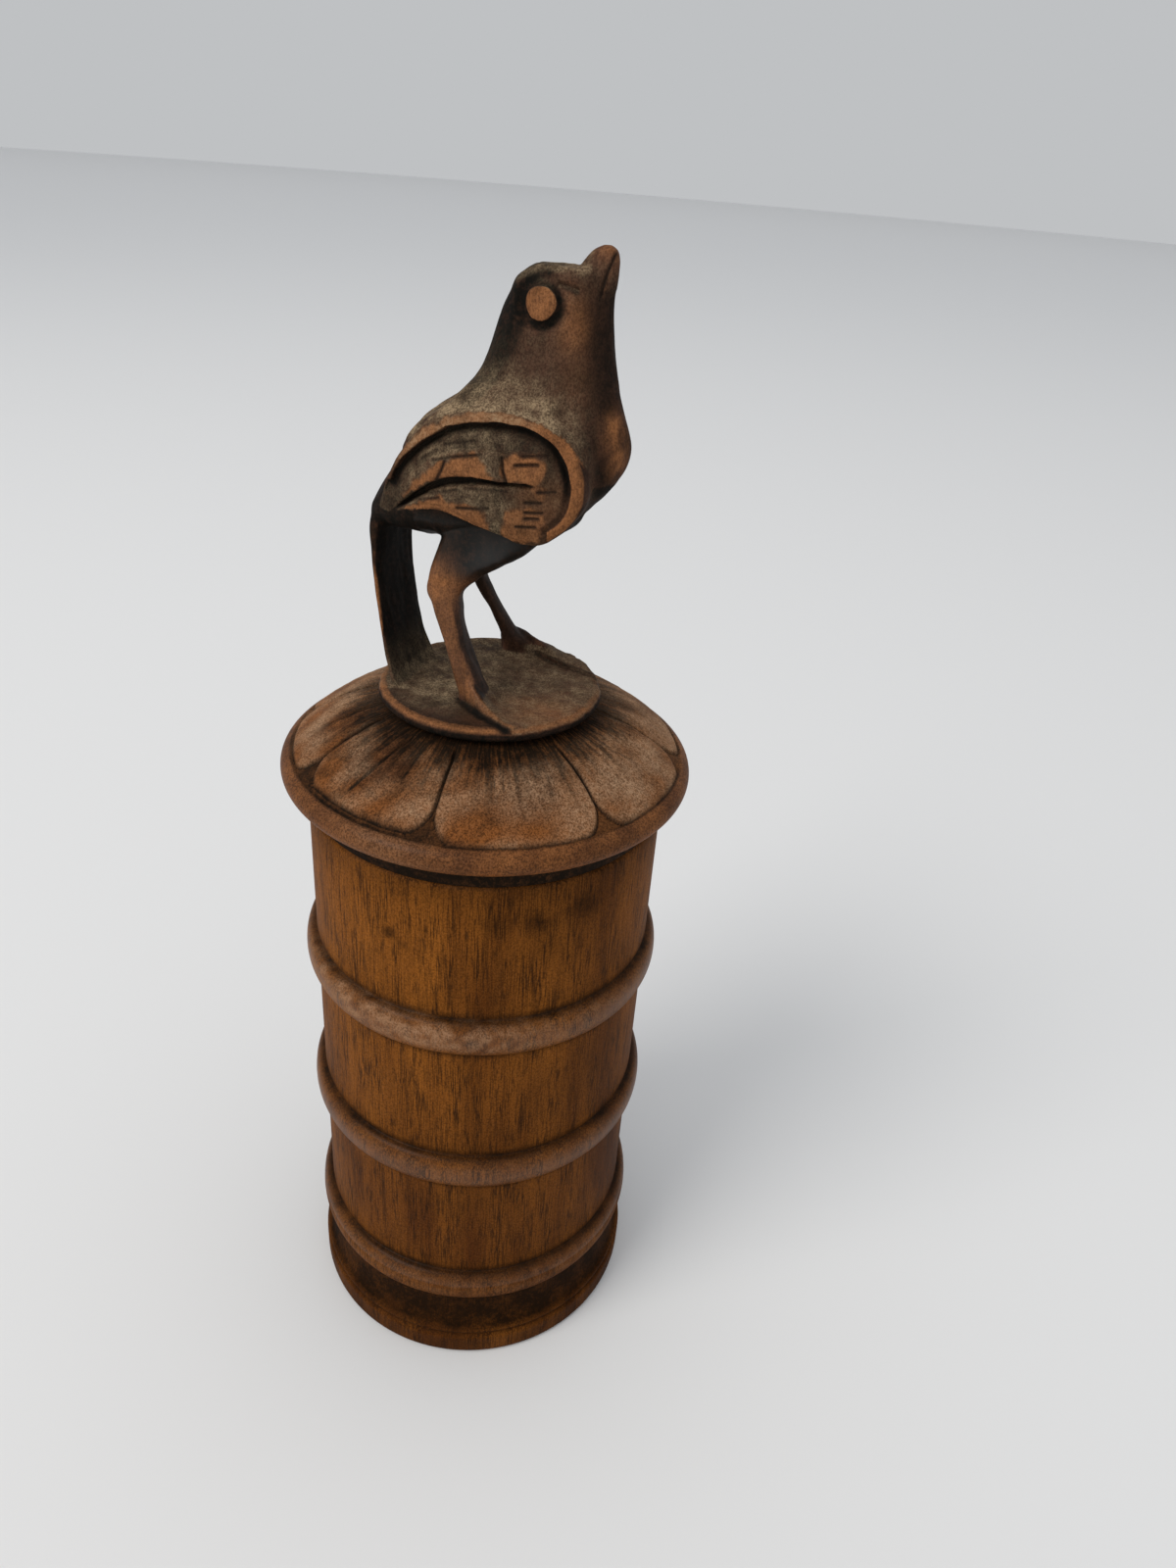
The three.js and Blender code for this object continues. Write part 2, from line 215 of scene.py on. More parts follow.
outside = fill([
    [0, 0], [20, 0], [foot_radius - 1.7, 0], [foot_radius - 1.1, 0.15], [foot_radius - 0.5, 0.5],
    [foot_radius - 0.1, 1.1], [foot_radius, 1.8], [foot_radius, 7.1], [foot_radius - 0.3, 7.6],
    [foot_radius - 1.0, 8.0], [foot_radius - 1.1, 8.4], [foot_radius - 0.5, 8.9], [foot_radius - 0.5, 9.4],
    *arc(foot_radius - 0.8, foot_height + cove_height, 2.1, cove_height, -1, -1.9, 16),
    *bead(bead_levels[0]), *bead(bead_levels[1]), *bead(bead_levels[2]),
    [pot_radius, pot_height - 0.9], [pot_radius - 0.25, pot_height - 0.3], [pot_radius - 0.8, pot_height],
], 1.6)
inside = fill([
    [pot_radius - 0.8, pot_height], [pot_inside + 0.8, pot_height], [pot_inside + 0.2, pot_height - 0.3],
    [pot_inside, pot_height - 0.9], *arc(pot_inside - 6, pot_floor + 6, 6, 6, 0, -1, 8), [0, pot_floor],
], 12)[1:]
pot_profile = np.concatenate([outside, inside])[1:-1]
print("pot profile", len(pot_profile), "points")

# %% Pot mesh
pot_angles = np.linspace(0, 2 * np.pi, 288, endpoint=False)
pot_grid = turn(pot_profile, pot_angles)
on_wall = ease(pot_grid[..., 2], 12, 24) * (np.hypot(pot_grid[..., 0], pot_grid[..., 1]) > 43)
unevenness = 1 + 0.0012 * waves(pot_grid * (1, 1, 0.5), 60, 3) * on_wall
pot_grid[..., :2] *= np.minimum(unevenness, 1.0)[..., None]
pot_vertices, pot_faces = closed_grid(pot_grid)
pot_mesh = mesh_from("pot_turned", pot_vertices, pot_faces)

# %% Where the pot is grimy, worn and dusty, and where its light and shade are painted
# Dark marks on the wall, each with its angle, level, half width and strength.
wall_marks = [
    (-119.5, 149.1, 1.9, 0.85), (-114.8, 146.8, 1.5, 0.5), (-133.8, 142.6, 1.1, 0.55),
    (-87, 155.5, 3.6, 0.5), (-92.1, 122.3, 1.6, 0.95), (-73.4, 155.5, 3.6, 0.5), (-57, 157, 5, 0.4),
    (-66, 151, 13, 0.3), (62, 140, 2.2, 0.6), (150, 88, 1.8, 0.5), (20, 55, 2.4, 0.4), (-60, 100, 12, 0.25),
    (-95, 62, 12, 0.2), (100, 110, 14, 0.3)]
level, outer = pot_vertices[:, 2], np.hypot(pot_vertices[:, 0], pot_vertices[:, 1]) > 41
angle = np.arctan2(pot_vertices[:, 1], pot_vertices[:, 0])
from_bead = level[:, None] - bead_levels
above, below, along_bead = (np.abs(from_bead - shift).min(1)
                            for shift in (bead_half + 0.5, -bead_half - 0.5, 0.8))
# Painted shade in the grime mask: dark in the creases above and below each bead, in the foot's groove, in the
# hollow cove and under the lid's overhang at the top. The bottom of the foot is darker too, and the wall
# marks are stains.
pot_grime_and_shade = 0.75 * bell(above, 0, 1) + 0.3 * np.exp(-above / 4) + 0.7 * bell(below, 0, 0.8)
pot_grime_and_shade += 0.8 * bell(level, 8.4, 0.7) + 0.97 * band(level, 8.6, 11, 22.5, 24.5)
pot_grime_and_shade += 0.4 * ease(level, 152, 166) + 0.35 * (1 - ease(level, 5, 9))
for mark_angle, mark_level, half, strength in wall_marks:
    across = turned(angle, math.radians(mark_angle)) * pot_radius / half
    up_mark = (level - mark_level) / (0.85 * half)
    pot_grime_and_shade += strength * np.exp(-((across**2 + up_mark**2) ** 1.3))
upper_bead = ease(level, 95, 115)
facing_left = 0.5 + 0.5 * np.cos(angle - math.radians(-122))
# Wear on the beads, and a thin line along the mouth's outer edge that is worn and also painted as a
# highlight.
pot_wear_and_lit_rim = (0.5 + 0.05 * upper_bead) * bell(along_bead, 0, 3.4) + 0.8 * bell(level, pot_height - 0.3, 0.5)
# Dust on the upper beads, with a painted highlight where they face the lamp.
pot_dust_and_highlight = (0.1 + (0.12 + 0.7 * facing_left**8) * upper_bead) * bell(along_bead, 1.4, 2.2)
# The tone is painted lighter on the side facing the lamp and darker towards the bottom, as painted light and
# shade, with random unevenness over it.
pot_tone_and_shading = 0.08 + 0.49 * ease(level, 10, 140) + 0.22 * facing_left**2
pot_tone_and_shading += 0.14 * waves(pot_vertices * (1, 1, 0.6), 38, 6) + 0.06 * waves(pot_vertices * (1, 1, 0.25), 9, 7)
paint(pot_mesh, "grime", np.where(outer, pot_grime_and_shade * (0.9 + 0.12 * waves(pot_vertices, 12, 5)), 0.25))
paint(pot_mesh, "wear_and_highlight", pot_wear_and_lit_rim * outer * (0.75 + 0.3 * waves(pot_vertices, 6, 8)))
paint(pot_mesh, "dust", pot_dust_and_highlight * (0.6 + 0.3 * waves(pot_vertices, 4, 9)) * outer * (level < 160))
paint(pot_mesh, "tone", pot_tone_and_shading)
paint(pot_mesh, "polish", 0.5 * bell(along_bead, 0, 3) * outer * (level > 30))
pot = piece_from(pot_mesh, "pot", "pot")

# %% [markdown]
# ## The lid
# The lid is turned as well, with a spigot that enters the pot, a recessed neck and a fat rounded
# rim, and only its dome is carved. The dome is one height that depends on radius and angle.
# We take away from it whatever the knife took: grooves between the petals, the sunk band outside
# their rounded ends, a few long veins, and many short cuts that run out from under the stand.

# %% The dome and its petals
rim_radius, rim_round, rim_level, neck_radius = 50, 3.4, 175.4, 43.7
crown_radius, crown_level, land_radius, land_level = 48, 178.8, 21, 191.8
dome_bulge = 2.6
# Angle of the groove before each petal, and the radius where that petal ends.
petals = np.array([
    [-322, 46.8], [-280, 46.8], [-236, 47], [-192, 47], [-154, 46.2], [-105.5, 47.4], [-55.5, 47.4],
    [-10, 47.1]])
petal_corner = 6
# Veins: angle at the start and end, radius at the start and end, depth and half width.
veins = np.array([
    [12, 12, 28, 39, 0.3, 0.22], [-35, -29, 33, 40, 0.35, 0.25], [-149, -152, 30, 41, 0.3, 0.22],
    [-167, -172, 33, 42, 0.35, 0.25], [-128.5, -134.5, 26, 44.5, 0.55, 0.6], [-88, -87, 33, 38, 0.3, 0.25],
    [-84, -84.5, 31, 38, 0.35, 0.25], [-20, -17, 29, 37, 0.3, 0.22], [36, 33, 30, 41, 0.35, 0.25],
    [62, 60, 28, 36, 0.3, 0.22], [95, 98, 30, 42, 0.35, 0.3], [118, 118, 28, 37, 0.3, 0.22],
    [141, 144, 31, 41, 0.35, 0.25], [-178, -177, 28, 38, 0.3, 0.22], [-141, -141.5, 27, 33, 0.3, 0.22]])


def dome_level(radius):
    """A straight slope from the land to the crown with a parabola added: z0 - h s + 4 b s (1 - s)."""
    share = (radius - land_radius) / (crown_radius - land_radius)
    return land_level - (land_level - crown_level) * share + 4 * dome_bulge * share * (1 - share)


def petal_inside(radius, angle):
    """Distance in from a petal's edge, positive on the petal. Its sides are radial lines, its end
    is a circle about the axis, and the two corners between them are rounded."""
    edges = np.radians(np.append(petals[:, 0], petals[0, 0] + 360))
    index = np.clip(np.searchsorted(edges, angle, side="right") - 1, 0, len(petals) - 1)
    half_groove = 0.1 + 0.3 * ease(radius, 40, 46.5)
    side = radius * np.minimum(angle - edges[index], edges[index + 1] - angle) - half_groove
    tip = petals[index, 1] - radius
    rounded = petal_corner - np.hypot(petal_corner - side, petal_corner - tip)
    return np.where((side < petal_corner) & (tip < petal_corner), rounded, np.minimum(side, tip))


def radial_cuts(radius, angle, cuts):
    """Depth of V cuts that run outwards: full on the line, nothing a half width away, and easing
    out at both ends. The line's angle changes evenly from its start to its end."""
    depth = np.zeros_like(radius)
    for start, end, inner, outer_end, deep, half in cuts:
        share = np.clip((radius - inner) / (outer_end - inner), 0, 1)
        line = np.radians(start + (end - start) * share)
        away = np.abs(turned(angle, line)) * radius
        ends = band(radius, inner - 0.5, inner + 1.2, outer_end - 2.5, outer_end)
        depth = np.maximum(depth, deep * ends * np.clip(1 - away / half, 0, 1))
    return depth


chance = np.random.default_rng(11)
count = 120
start_angle = chance.uniform(-180, 180, count)
start_radius = chance.uniform(23.5, 27.5, count)
knife_cuts = np.column_stack([start_angle, start_angle + chance.normal(0, 1.6, count), start_radius,
                              start_radius + chance.uniform(3, 11, count) * chance.uniform(0.5, 1, count),
                              chance.uniform(0.12, 0.32, count), chance.uniform(0.16, 0.32, count)])
print(len(petals), "petals,", len(veins), "veins,", len(knife_cuts), "short knife cuts")

# %% Lid mesh
spigot, hollow = 37.5, 33.5
under = fill([
    *arc(0, pot_height, hollow, 12, 0.97, 0, 7), [hollow, 158], [spigot - 0.8, 158], [spigot - 0.2, 158.2],
    [spigot, 158.8], [spigot, pot_height], [neck_radius - 0.3, pot_height], [neck_radius, pot_height + 0.3],
    [neck_radius, pot_height + 5.4], [neck_radius + 0.25, pot_height + 5.9],
    *arc(rim_radius - rim_round, rim_level, rim_round, rim_round, -0.96, 0.72, 22),
], 9)
crown = np.concatenate([np.arange(47.6, 24, -0.36), np.arange(24, land_radius, -0.8), [land_radius]])
bore = [[7.6, land_level], [7.3, land_level - 0.3], [7.3, 182.8], [2.5, 182.8]]
lid_profile = np.concatenate([under, np.column_stack([crown, dome_level(crown)]), bore])
lid_angles = np.linspace(np.radians(-322), np.radians(38), 800, endpoint=False)
lid_grid = turn(lid_profile, lid_angles)
lid_radius = lid_profile[:, :1] + 0 * lid_angles
lid_angle = lid_angles + 0 * lid_radius
on_dome = np.zeros(len(lid_profile), bool)
on_dome[len(under):len(under) + len(crown) - 1] = True

inward = petal_inside(lid_radius, lid_angle)
cuts = radial_cuts(lid_radius, lid_angle, np.concatenate([veins, knife_cuts]))
fade = ease(lid_radius, 24.5, 29)
sunk = 0.7 * (1 - ease(inward, -0.1, 0.5)) + 0.16 * np.exp(-np.clip(inward, 0, None) / 1.1)
sunk += 0.3 * bell(inward, 0, 0.3)
sunk *= fade * (1 - 0.75 * ease(lid_radius, 47.1, 47.7))
hand = 0.07 * waves(lid_grid, 9, 21) + 0.05 * waves(lid_grid, 4, 22)
hand = np.clip(hand + 0.08, 0, None) * fade
lid_grid[..., 2] -= (sunk + cuts * (1 - ease(lid_radius, 45.5, 46.5)) + hand) * on_dome[:, None]
lid_vertices, lid_faces = closed_grid(lid_grid)
lid_mesh = mesh_from("lid_petals", lid_vertices, lid_faces)


# %% Where the lid is grimy, worn and dusty, and where its shade and highlight are painted
def with_ends(values):
    """Values for the grid's points and its two end points."""
    return np.append(values.ravel(), [values[0].mean(), values[-1].mean()])


lid_level, lid_degrees = lid_grid[..., 2], np.degrees(lid_angle)
dome_share = on_dome[:, None] + 0 * lid_angle
rim_share = ease(lid_radius, 46.9, 48.2)
# Painted shade: dark lines in the grooves between the petals, and a dark band in the sunk ground below the
# petals' ends.
line = bell(np.clip(inward, -9, 9), 0, 0.34) * fade
shade_below_petal_ends = ease(-inward, 0, 0.5) * fade * (1 - ease(lid_radius, 47.2, 48.2))
left_side, front = bell(lid_degrees, -130, 38), bell(lid_degrees, -82, 22)
right_side = bell(lid_degrees, -35, 35)
around = lid_grid / lid_radius[..., None] * (30, 30, 0)
ragged = 2.2 * waves(around, 5, 31) + 1.6 * waves(around, 1.3, 41) + waves(lid_grid, 2.5, 32)
near_stand = 0.9 * (1 - ease(lid_radius + ragged, 27, 43)) ** 1.25
blotches = ease(waves(lid_grid, 6, 39) + 0.7 * waves(lid_grid, 2.2, 40), 0.2, 1.3) * ease(inward, 0, 0.4)
# The grime mask holds painted shade in the grooves, below the petals' ends, at the dome's outer edge and in
# the knife cuts and veins, along with stains and the grime near the stand.
lid_grime_and_shade = np.maximum.reduce([
    line,
    blotches * (0.2 + 0.22 * left_side),
    0.1 * left_side * fade,
    shade_below_petal_ends * (0.45 + 0.45 * left_side),
    (0.5 + 0.18 * waves(lid_grid, 6, 38)) * ease(lid_radius, 46.6, 47.6) * ease(lid_level, 171.5, 177),
    0.85 * near_stand,
    np.clip(cuts / 0.22, 0, 1) * (0.9 - 0.2 * near_stand)]) * dome_share
# Painted shadow: the neck under the overhanging rim is nearly black.
shade_under_rim = (lid_level < pot_height + 6.6) & (lid_radius > 42) & (lid_level > 160)
lid_grime_and_shade = np.where(shade_under_rim, 0.95, lid_grime_and_shade)
lid_grime_and_shade = np.where((dome_share < 0.5) & (lid_radius < 40), 0.3, lid_grime_and_shade)
petal_face = ease(inward, 0.3, 1.2) * (0.6 * (1 - ease(inward, 1.2, 8)) + 0.22 * front) * fade
lid_worn = rim_share * (0.6 - 0.5 * ease(lid_level, 172.5, 177)) * (0.85 + 0.25 * waves(lid_grid, 10, 34))
lid_dust = ease(lid_radius, 26, 34) * (1 - 0.75 * near_stand) * (1 - line) * (inward > 0)
lid_dust *= 0.22 + 0.18 * right_side - 0.12 * left_side + 0.14 * waves(lid_grid, 11, 33)
lid_dust += 0.2 * ease(np.abs(lid_degrees + 90), 60, 130)
lid_tone = 0.55 - 0.3 * left_side - 0.25 * rim_share
lid_tone += 0.16 * waves(lid_grid, 16, 35) + 0.1 * waves(lid_grid, 5, 36)
paint(lid_mesh, "grime", with_ends(lid_grime_and_shade))
paint(lid_mesh, "wear_and_highlight", with_ends(lid_worn + dome_share * petal_face))
# Painted highlight: a pale spot on the rim on the side toward the lamp, kept in the dust mask.
paint(lid_mesh, "dust", with_ends(dome_share * lid_dust + 0.09 * bell(lid_degrees, -118, 14) * rim_share))
paint(lid_mesh, "tone", with_ends(lid_tone))
paint(lid_mesh, "polish", with_ends(0.1 * rim_share))
lid = piece_from(lid_mesh, "lid", "lid")

# %% [markdown]
# ## The bird
# The bird is carved in the round, so no single profile gives its shape. Each form (body, beak,
# leg, tail) is an egg-shaped ring that changes from level to level. The forms overlap, and a
# voxel remesh joins them into the one piece of wood that they are. Levels count up from the top
# of the stand, a runs ahead along the bird, and b to its left.

# %% Stations of the carved forms
# Level, back end, front end, where it is widest, half width, sideways place, and how square the
# ring is behind and ahead.
body_stations = [
    [35.2, -27.5, 8, -8, 7, 0, 3, 2.2], [36.4, -28.6, 12, -7, 10, 0, 3, 2.1],
    [39, -28.6, 17, -6, 13.4, 0, 2.8, 2], [43, -26.8, 20, -2, 15, 0, 2.5, 2],
    [48, -23.8, 24.6, 1, 15.6, 0, 2.2, 1.9], [52.5, -21.1, 27.6, 3, 15.6, 0, 2.1, 1.8],
    [56.5, -19, 28.3, 4, 14.8, 0, 2, 1.8], [60.5, -15.7, 27.6, 6, 13, 0, 2, 1.8],
    [64.5, -9.8, 26, 8, 10.8, 0, 2, 1.9], [69, -5.8, 24.6, 9.5, 9, 0, 2.1, 2],
    [75, -2.8, 23.3, 10, 7.8, 0, 2.2, 2], [80.5, -0.9, 22.6, 9.5, 7.3, 0, 2.3, 1.8],
    [85.5, 1, 22.6, 9.5, 7.2, 0, 2.3, 1.6], [89, 3, 22.7, 10, 6.2, 0, 2.4, 1.6],
    [91.1, 6, 22.8, 12, 4.4, 0, 2.4, 1.7]]
beak_stations = [
    [87.5, 11, 22.7, 18, 3.8, 0, 2, 1.9], [91.1, 14.6, 22.8, 19, 3, 0, 2, 1.9],
    [93.2, 16.4, 22.7, 19.7, 2.5, 0, 2, 2], [94.65, 18, 22, 20.1, 1.7, 0, 2, 2],
    [95.32, 19.4, 21, 20.2, 0.7, 0, 2, 2]]
right_leg_stations = [
    [-1, -4, 6.5, -0.5, 3.2, -14.2, 2.8, 2.8], [1.6, -4.1, 3.6, -1, 3, -14.1, 3, 3],
    [5, -5, 1.2, -2.4, 2.9, -13.8, 3.4, 3.6], [10, -6.9, -1.4, -4.4, 2.9, -13.2, 3.6, 3.8],
    [15.5, -8.9, -3.5, -6.4, 2.9, -12.6, 3.6, 3.8], [20.5, -10.8, -4.6, -8, 3.1, -12, 3.4, 3.6],
    [24.6, -12.5, -4.6, -8.8, 3.5, -11.3, 3, 3], [27.5, -12.4, -1.6, -7.6, 4.4, -10.4, 2.6, 2.4],
    [34, -10.7, 8.6, -4, 6.4, -8.1, 2.6, 2], [42, -8.2, 17, 0, 7.6, -6.3, 2.6, 2]]
left_leg_stations = [
    [-1, -2.6, 7.5, 1.5, 2.8, 16, 2.6, 2.6], [2, -2.2, 5.2, 0.8, 2.4, 15.8, 2.8, 2.8],
    [5, -2.9, 1.9, -0.7, 2.1, 15.3, 2.8, 2.8], [10, -5, -1.8, -3.4, 2, 14.8, 2.8, 2.8],
    [16.5, -8.5, -5, -6.8, 2, 13.8, 2.8, 2.8], [21.5, -10.8, -6.4, -8.6, 2.5, 12.6, 2.8, 2.8],
    [26, -12.2, -3.2, -7.8, 3.8, 11, 2.6, 2.4], [34, -10.7, 8.6, -4, 6.4, 8.1, 2.6, 2],
    [42, -8.2, 17, 0, 7.6, 6.3, 2.6, 2]]
tail_stations = [
    [-1, -20.9, -16.6, -18.4, 10.9, -3, 2, 4], [1.5, -21.6, -18.6, -19.7, 10.5, -2.7, 2, 4],
    [5, -22.8, -20.2, -21.3, 10, -2.2, 2, 4], [10, -24.1, -21.7, -22.7, 9.6, -1.7, 2, 4],
    [20, -26, -23.6, -24.5, 9.2, -1.1, 2, 4], [30, -27.2, -24, -25.4, 9.1, -0.8, 2.2, 4],
    [36, -27.8, -23, -25.2, 9, -0.4, 2.6, 3], [41, -27, -19, -23, 8.6, 0, 2.6, 2.6]]


def smooth_curve(knots, values, at):
    """A cubic through the values: on each span it starts and ends with the slope that joins the
    two neighbouring knots, so the curve has no corners."""
    knots, values = np.asarray(knots, float), np.asarray(values, float)
    slope = np.gradient(values, knots, axis=0)
    k = np.clip(np.searchsorted(knots, at, side="right") - 1, 0, len(knots) - 2)
    span = (knots[k + 1] - knots[k])[:, None]
    t = ((at - knots[k]) / span[:, 0])[:, None]
    return ((2 * t**3 - 3 * t**2 + 1) * values[k] + (t**3 - 2 * t**2 + t) * span * slope[k]
            + (3 * t**2 - 2 * t**3) * values[k + 1] + (t**3 - t**2) * span * slope[k + 1])


def carved_form(stations, rows=90, columns=120):
    """Rings |x|^n + |y|^n = 1 about the widest place, with the reach and n of the back half and
    the front half each read from the stations by a smooth curve."""
    table = np.asarray(stations, float)
    levels = np.linspace(table[0, 0], table[-1, 0], rows)
    curves = smooth_curve(table[:, 0], table[:, 1:], levels).T[..., None]
    back, front, widest, half, side, behind, ahead_power = curves
    t = np.linspace(0, 2 * np.pi, columns, endpoint=False)
    c, s = np.cos(t), np.sin(t)
    power = 2 / np.where(c > 0, ahead_power, behind)
    reach = np.where(c > 0, front - widest, widest - back)
    return np.stack([widest + np.sign(c) * np.abs(c) ** power * reach,
                     side + np.sign(s) * np.abs(s) ** power * half, levels[:, None] + 0 * c], axis=-1)


# %% [markdown]
# ### Wings, eyes, feet and stand
# A wing is a panel that stands proud of the flank. An eye is a flat disc left standing. Each
# foot is a ridge that runs from the heel to the toes, steep outside and sloping to the web
# inside. The stand is a turned slab with the tenon that holds the whole bird in the lid.

# %% Wings, eyes, feet and stand
wing_outline = np.array([
    [-24, 40.8], [-17, 42.2], [-9.5, 43.5], [0.5, 40.8], [12.9, 38.2], [18.8, 42.5], [22, 48.5], [21.8, 53],
    [19, 58], [13.4, 62], [6, 64], [-2, 63.8], [-11, 61], [-17.5, 55], [-22, 47.5]])
stand_radius, stand_thickness, stand_centre = 26.5, 3.5, -3
eye_ahead, eye_level, eye_radius = 9.0, 84.7, 3.25


def through(points, count, closed=False):
    """Evenly counted points on a smooth curve through the given ones."""
    points = np.asarray(points, float)
    if closed:
        points = np.concatenate([points[-2:], points, points[:3]])
    knots = np.append(0, np.cumsum(np.linalg.norm(np.diff(points, axis=0), axis=1)))
    first, last = (knots[2], knots[-3]) if closed else (knots[0], knots[-1])
    return smooth_curve(knots, points, np.linspace(first, last, count, endpoint=not closed))


def wing_surface(a, level):
    """How far the wing's face stands out from the middle of the bird: a bowed and crowned panel."""
    return 17.4 - 4.4 * ((a - 3) / 22) ** 2 - 2.6 * ((level - 50) / 14) ** 2


def wing_form(side):
    """Rings from the outline in towards the middle, first straight out of the body and then
    over a rounded edge and across the face."""
    edge = through(wing_outline, 150, closed=True)
    shares = np.array([1, 1, 0.99, 0.975, 0.955, *np.linspace(0.9, 0.02, 24)])
    drop = np.array([12, 1.2, 0.55, 0.2, 0.04, *np.zeros(24)])
    place = np.array([0, 50]) + shares[:, None, None] * (edge - [0, 50])
    out = np.where(drop[:, None] > 10, 5, wing_surface(place[..., 0], place[..., 1]) - drop[:, None])
    grid = np.stack([place[..., 0], side * out, place[..., 1]], axis=-1)
    return grid if side < 0 else grid[:, ::-1]


def eye_form(side):
    """A flat disc of wood with a slightly rounded edge."""
    profile = [[0.05, 0], [eye_radius, 0], [eye_radius, 3.6], [eye_radius - 0.25, 3.85], [0.05, 3.95]]
    grid = turn(profile, np.linspace(0, 2 * np.pi, 60, endpoint=False))
    placed = np.stack([
        eye_ahead + grid[..., 0], side * (3.9 + grid[..., 2]), eye_level + grid[..., 1]], axis=-1)
    return placed[:, ::-1] if side > 0 else placed


# Each foot: its sharp outer edge from heel to toe, and the rest of its outline.
right_foot_edge = np.array([
    [-3.2, -15.2], [-2, -17.2], [0.5, -19.4], [3, -21.2], [7, -23.9], [11, -26], [14.3, -27.3]])
left_foot_edge = np.array([[-2.2, 15.4], [1, 16.4], [5.3, 15.3], [12.3, 11.5], [18.7, 9], [24, 7]])
right_foot_inner = np.array([[24, -15.8], [22, -8], [12, -6], [4, -8.5], [-1.5, -11]])
left_foot_inner = np.array([[20, 13], [13, 19.5], [6, 22.8], [-1, 21], [-3.6, 17.6]])


def foot_form(outer_edge, inner_edge, heel, toe, fall):
    """A flat-bottomed pad. Its top falls from the heel's height to the toe's along the outer
    edge, and from that edge inwards down to the stand as exp(-(distance / fall)^2). At the heel
    it rises by 4.5 exp(-(along / 0.34)^2) mm more, up the leg. It ends just inside the rim."""
    crest = through(outer_edge, 60)
    rest = through(np.concatenate([outer_edge[-1:], inner_edge, outer_edge[:1]]), 90)[1:-1]
    outline = np.concatenate([crest, rest])
    if np.cross(outline - outline.mean(0), np.roll(outline, -1, 0) - outline.mean(0)).sum() < 0:
        outline = outline[::-1]
    centre = outline.mean(0)
    shares = np.array([0.03, 1, 1, *np.linspace(0.98, 0.03, 22)])
    place = centre + shares[:, None, None] * (outline - centre) - [0, stand_centre]
    place *= np.minimum(1, (stand_radius - 0.9) / np.hypot(place[..., 0], place[..., 1]))[..., None]
    place += [0, stand_centre]
    gap, along = line_distance(place[..., 0], place[..., 1], crest)
    slope = bell(np.clip(gap - 1.2, 0, None), 0, fall)
    height = (toe + (heel - toe) * (1 - along) ** 1.1) * slope - 0.12
    heel_rise = np.exp(-(along / 0.34) ** 2 - (np.clip(gap - 0.8, 0, None) / 3.2) ** 2)
    height += 4.5 * heel_rise * ease(gap, 0, 0.9)
    level = np.where(np.arange(len(shares))[:, None] < 2, -1.2, height)
    return np.concatenate([place, level[..., None]], axis=-1)


def line_distance(a, b, line):
    """Distance from each point to a broken line, and the share of the line's length at its
    nearest point: each point is dropped onto every segment and the shortest drop is kept."""
    line = np.asarray(line, float)
    shape = np.shape(a)
    point = np.stack([np.ravel(a), np.ravel(b)], axis=-1)[:, None]
    start, span = line[:-1], np.diff(line, axis=0)
    share = np.clip(((point - start) * span).sum(-1) / (span**2).sum(-1), 0, 1)
    gap = np.linalg.norm(point - start - share[..., None] * span, axis=-1)
    nearest = gap.argmin(1)
    rows = np.arange(len(gap))
    length = np.append(0, np.cumsum(np.linalg.norm(span, axis=1)))
    along = (length[nearest] + share[rows, nearest] * np.diff(length)[nearest]) / length[-1]
    return gap[rows, nearest].reshape(shape), along.reshape(shape)


def stand_form():
    """The slab's profile, undercut below and softly rounded above, with the tenon under it."""
    t = stand_thickness
    profile = fill([
        [0.05, -t - 8.4], [7, -t - 8.4], [7, -t], [stand_radius - 5, -t], [stand_radius - 0.6, -t + 0.6],
        [stand_radius - 0.1, -t + 1.2], [stand_radius, -t + 1.8], [stand_radius - 0.1, -1.1],
        [stand_radius - 0.5, -0.4], [stand_radius - 1.2, -0.05], [stand_radius - 2.2, 0], [0.05, 0]], 2)
    return turn(profile, np.linspace(0, 2 * np.pi, 180, endpoint=False)) + [0, stand_centre, 0]


tail_turn = math.radians(-6)
tail = carved_form(tail_stations)
pivot = np.array([-24, -1])
spin = np.array([[math.cos(tail_turn), math.sin(tail_turn)], [-math.sin(tail_turn), math.cos(tail_turn)]])
tail[..., :2] = (tail[..., :2] - pivot) @ spin + pivot
forms = [
    carved_form(body_stations, 160, 200), carved_form(beak_stations, 50, 80),
    carved_form(right_leg_stations), carved_form(left_leg_stations), tail, stand_form(),
    foot_form(right_foot_edge, right_foot_inner, 1.9, 0.45, 4.2),
    foot_form(left_foot_edge, left_foot_inner, 2.2, 0.7, 7),
    *[make(side) for side in (-1, 1) for make in (wing_form, eye_form)]]
print(len(forms), "forms of the bird")

# %% [markdown]
# ### Joining the forms
# The remesh looks at the forms as one solid and covers it with a fine even skin, 0.27 mm a side.
# That skin is also what we carve next, as clay would be. It is worked in millimetres, because the
# tool likes sizes near one.

# %% Join the forms into one skin
voxel = 0.27


def joined(grids):
    """One mesh of all the closed grids, their vertices numbered one after another."""
    vertices, faces, start = [], [], 0
    for grid in grids:
        points, own = closed_grid(grid)
        vertices.append(points)
        faces += [[start + corner for corner in face] for face in own]
        start += len(points)
    return np.concatenate(vertices), faces


def read(items, name, width=3, kind=float):
    """A property of every vertex, edge or corner of a mesh, as an array with width columns."""
    values = np.empty(len(items) * width, kind)
    items.foreach_get(name, values)
    return values.reshape(-1, width)


def neighbour_sum(edges, values):
    """For each vertex, the sum of the values at the far ends of its edges."""
    one, two = edges.T
    return np.bincount(one, values[two], len(values)) + np.bincount(two, values[one], len(values))


